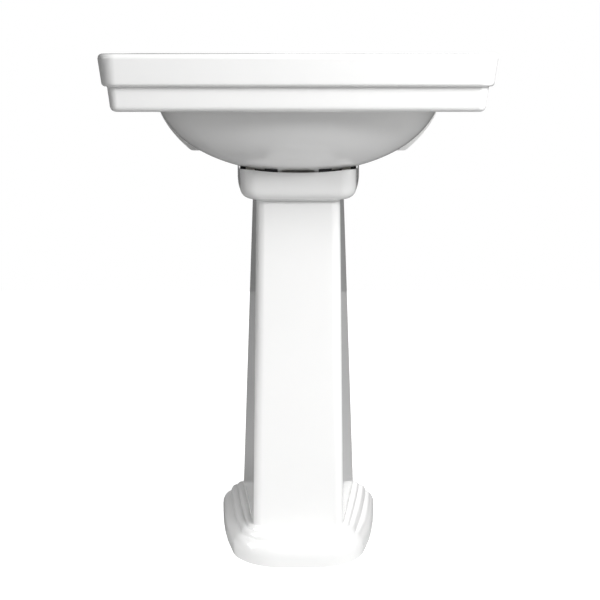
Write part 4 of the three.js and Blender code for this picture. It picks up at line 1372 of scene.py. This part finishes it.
def makePlug():
    p = plugSizes
    foot, top = heights("cleanout_plug", 0)
    high, head, rise, chamfer, thread = top - foot, p["head"], p["headHeight"], p["chamfer"], p["thread"]
    section = [(0, 0), (head - chamfer, 0), (head, chamfer), (head, rise - chamfer),
               (head - chamfer, rise), (thread - p["threadDepth"], rise)]
    section += threadPoints(thread, p["threadDepth"], rise + p["neckHeight"], high - p["lead"], p["pitch"])
    section += [(thread - 1 * mm, high), (0, high)]
    centre = (0, (drainY + trapSizes["outletY"]) / 2, foot)
    plug = turned("cleanoutPlug", section, centre)
    joinSolid(plug, block("plugSlot", p["slot"], centre, soften=p["slotSoften"]), "DIFFERENCE")
    addPiece(plug, "cleanout_plug", "chrome", weighted=False)


def makeTrapArm():
    t = trapSizes
    low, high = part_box("trap_arm")
    outletY = t["outletY"]
    middle = (0, outletY + t["armBend"], t["armBendFoot"])
    spare = 5 * mm
    rise, run = middle[2] - low.z, high.y - middle[1]
    turn = ("turn", middle, math.pi / 2, 20)
    outer = [("push", 0, 0, rise), turn, ("push", 0, run, 0)]
    inner = [("push", 0, 0, rise + spare), turn, ("push", 0, run + spare, 0)]
    arm = pipeForm("trapArmPipe", t["tube"], (0, outletY, low.z), outer)
    bore = pipeForm("armBore", t["tube"] - t["tubeWall"], (0, outletY, low.z - spare), inner)
    joinSolid(arm, bore, "DIFFERENCE")
    addPiece(arm, "trap_arm", "chrome", weighted=False)


def makeSlipNut(node):
    t = trapSizes
    low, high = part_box(node)
    centre = ((low.x + high.x) / 2, (low.y + high.y) / 2, low.z)
    deep, spare = high.z - low.z, 1 * mm
    roof = deep - t["nutRoof"]
    socket, bore = t["nutSocket"], t["nutBore"]
    hollow = [(0, -spare), (socket + spare, -spare), (socket, spare), (socket, roof), (bore, roof),
              (bore, deep - 0.6 * mm), (bore + 2 * spare, deep + spare), (0, deep + spare)]
    addPiece(hexNut(node + "Chrome", centre, t["nutFlats"], 0, deep, hollow), node, "chrome")


# the plate that hides the hole in the wall
plateSizes = {"outer": 38 * mm, "bore": 16.3 * mm, "thick": 1.4 * mm, "height": 8 * mm, "neck": 11 * mm,
              "flat": 23.3 * mm, "collar": 17.7 * mm, "soften": 0.5 * mm, "chamfer": 0.4 * mm}


def makeEscutcheon():
    low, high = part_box("wall_escutcheon")
    outer, bore, thick, height, neck, flat, collar, soften, chamfer = plateSizes.values()
    under = height - thick
    section = [(outer, 0)] + bend((outer, 0), (outer - thick, height), (flat, height), 12)
    section += bend((flat, height), (collar, height), (collar, neck - soften), 8)
    section += [(collar - chamfer, neck), (bore, neck), (bore, under), (flat, under)]
    section += bend((flat, under), (outer - 2 * thick, under), (outer - thick, 0), 12)
    centre = (0, high.y, (low.z + high.z) / 2)
    addPiece(turned("wallPlate", section, centre, wallAxis, 96), "wall_escutcheon", "chrome")


makeTailpiece()
makeTrap()
makePlug()
makeTrapArm()
for node in ("trap_inlet_nut", "trap_outlet_nut"):
    makeSlipNut(node)
for node in ("trap_inlet_washer", "trap_outlet_washer", "cleanout_seal"):
    makeRing(node, "rubber", 0.5 * mm)
makeEscutcheon()

# hanger bolts through the lugs, with heights from the lugs' faces towards the room
boltSizes = {
    "radius": 4 * mm,
    "point": 9 * mm,
    "metricFrom": -8 * mm,
    "metricPitch": 1.25 * mm,
    "woodPitch": 3.2 * mm,
    "bore": 4.3 * mm,
    "sleeve": 6.7 * mm,
    "flange": 13.5 * mm,
    "washer": 12 * mm,
    "nutFlats": 13 * mm,
    "gap": 0.3 * mm,             # between the sleeve's flange and the lug
    "woodTo": -18 * mm,
    "woodDepth": 0.9 * mm,
    "metricDepth": 0.55 * mm,
}
lugFace = wallY - basinSizes["backWall"]


def makeBoltSet(hand, side):
    b = boltSizes
    centre = (side * boltX, lugFace, boltZ)
    radius = b["radius"]

    def span(node):
        low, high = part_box(node + hand)
        return lugFace - high.y, lugFace - low.y

    tip, reach = span("wall_bolt_")
    shank = radius - 0.4 * mm
    section = [(0, tip), (1.2 * mm, tip + 2 * mm)]
    section += threadPoints(radius, b["woodDepth"], tip + b["point"], b["woodTo"], b["woodPitch"])
    section += [(shank, b["woodTo"] + 1 * mm), (shank, b["metricFrom"] - 0.5 * mm)]
    section += threadPoints(radius, b["metricDepth"], b["metricFrom"], reach - 1 * mm, b["metricPitch"])
    section += [(radius - 1 * mm, reach), (0, reach)]
    bolt = turned("hangerBolt", section, centre, wallAxis, 32)
    addPiece(bolt, "wall_bolt_" + hand, "zinc_steel", angle=50, weighted=False)
    low, high = span("bolt_sleeve_")
    bore, sleeve, flange, gap = b["bore"], b["sleeve"], b["flange"], b["gap"]
    section = [(bore, low), (sleeve - 0.4 * mm, low), (sleeve, low + 0.4 * mm), (sleeve, gap),
               (flange - 0.6 * mm, gap)]
    section += bend(section[-1], (flange, gap), (flange, gap + 0.6 * mm), 3)
    section += bend(section[-1], (flange, high), (flange - 1 * mm, high), 4) + [(bore, high)]
    addPiece(turned("boltSleeve", section, centre, wallAxis), "bolt_sleeve_" + hand, "nylon")
    low, high = span("bolt_washer_")
    section = roundedSection(bore, low, b["washer"], high, 0.3 * mm)
    addPiece(turned("boltWasher", section, centre, wallAxis), "bolt_washer_" + hand, "zinc_steel")
    low, high = span("bolt_nut_")
    hollow = plainBore(bore, low, high, 0.4 * mm)
    nut = hexNut("boltNut", centre, b["nutFlats"], low, high, hollow, wallAxis)
    addPiece(nut, "bolt_nut_" + hand, "zinc_steel")


makeBoltSet("left", -1)
makeBoltSet("right", 1)
print("fittings done")

# camera, lights and floor
cameraSizes = {"height": 891.2 * mm, "distance": 1961.2 * mm, "pitch": 11.06, "lens": 76.11, "side": 3.1 * mm}
lightSizes = {
    "key": {"place": (1.35, -1.72, 2.15), "aim": (0, 0, 0.5), "size": 1.2, "spread": 180, "energy": 88},
    "left": {"place": (-2.4, -0.9, 1.2), "aim": (0, 0, 0.5), "size": 1.2, "spread": 180, "energy": 5},
    "low": {"place": (-1.7, -0.6, 0.45), "aim": (-0.1, 0, 0.02), "size": 0.5, "spread": 40, "energy": 0.8},
    "right": {"place": (2.4, -0.6, 1.0), "aim": (0, 0, 0.5), "size": 1.2, "spread": 180, "energy": 7},
    "back": {"place": (0.9, 3.2, 1.5), "aim": (0, 0.2, 0.5), "size": 2.2, "spread": 180, "energy": 13},
}
roomSizes = {"grey": 0.13, "floorHalf": 1.5, "floorNear": -2.45, "floorFar": 2.5}
shadeSizes = {"short": 30 * mm, "height": 50 * mm, "clear": 0.5 * mm, "drop": 30 * mm}


def makeCamera():
    data = bpy.data.cameras.new("camera")
    camera = bpy.data.objects.new("camera", data)
    bpy.context.scene.collection.objects.link(camera)
    data.lens = cameraSizes["lens"]
    data.sensor_width = 36
    data.clip_start = 0.05
    data.clip_end = 60
    camera.location = (cameraSizes["side"], frontY - cameraSizes["distance"], cameraSizes["height"])
    camera.rotation_euler = (math.radians(90 - cameraSizes["pitch"]), 0, 0)
    bpy.context.scene.camera = camera


def makeLights():
    for name, values in lightSizes.items():
        data = bpy.data.lights.new(name, "AREA")
        data.shape = "SQUARE"
        data.size = values["size"]
        data.spread = math.radians(values["spread"])
        data.energy = values["energy"]
        light = bpy.data.objects.new(name, data)
        bpy.context.scene.collection.objects.link(light)
        light.location = values["place"]
        away = Vector(values["place"]) - Vector(values["aim"])
        light.rotation_euler = away.to_track_quat("Z", "Y").to_euler()


def makeRoom():
    # the room is white to the camera and a soft grey to everything that it lights
    world = bpy.data.worlds.new("studio")
    world.use_nodes = True
    tree = world.node_tree
    lit = tree.nodes["Background"]
    lit.inputs["Color"].default_value = (1, 1, 1, 1)
    lit.inputs["Strength"].default_value = roomSizes["grey"]
    seen = tree.nodes.new("ShaderNodeBackground")
    seen.inputs["Color"].default_value = (1, 1, 1, 1)
    seen.inputs["Strength"].default_value = 1
    path = tree.nodes.new("ShaderNodeLightPath")
    mix = tree.nodes.new("ShaderNodeMixShader")
    tree.links.new(path.outputs["Is Camera Ray"], mix.inputs["Fac"])
    tree.links.new(lit.outputs["Background"], mix.inputs[1])
    tree.links.new(seen.outputs["Background"], mix.inputs[2])
    tree.links.new(mix.outputs["Shader"], tree.nodes["World Output"].inputs["Surface"])
    bpy.context.scene.world = world
    bpy.context.scene.view_settings.view_transform = "Standard"


def makeFloor():
    near, far = roomSizes["floorNear"], roomSizes["floorFar"]
    middle = (0, (near + far) / 2, 0)
    bpy.ops.mesh.primitive_plane_add(size=2, location=middle)
    floor = settle("studioFloor")
    stretch(roomSizes["floorHalf"], (far - near) / 2, 1, middle)
    objectMode()
    floor.data.materials.append(finishes["floor"])


def makeShade():
    # a dark card across the open back of the capital, clear from behind, in place of the wall's shadow
    p, s = pedestalSizes["capital"], shadeSizes
    size = (2 * p["backHalf"] - s["short"], s["height"])
    centre = (0, drainY + p["back"] + s["clear"], pedestalHigh.z - s["drop"])
    bpy.ops.mesh.primitive_plane_add(size=1, location=centre, rotation=(math.pi / 2, 0, 0))
    card = settle("shadeCard")
    stretch(size[0], 1, size[1], centre)
    objectMode()
    card.data.materials.append(finishes["shade"])


makeCamera()
makeLights()
makeRoom()
makeFloor()
makeShade()
print("studio done")
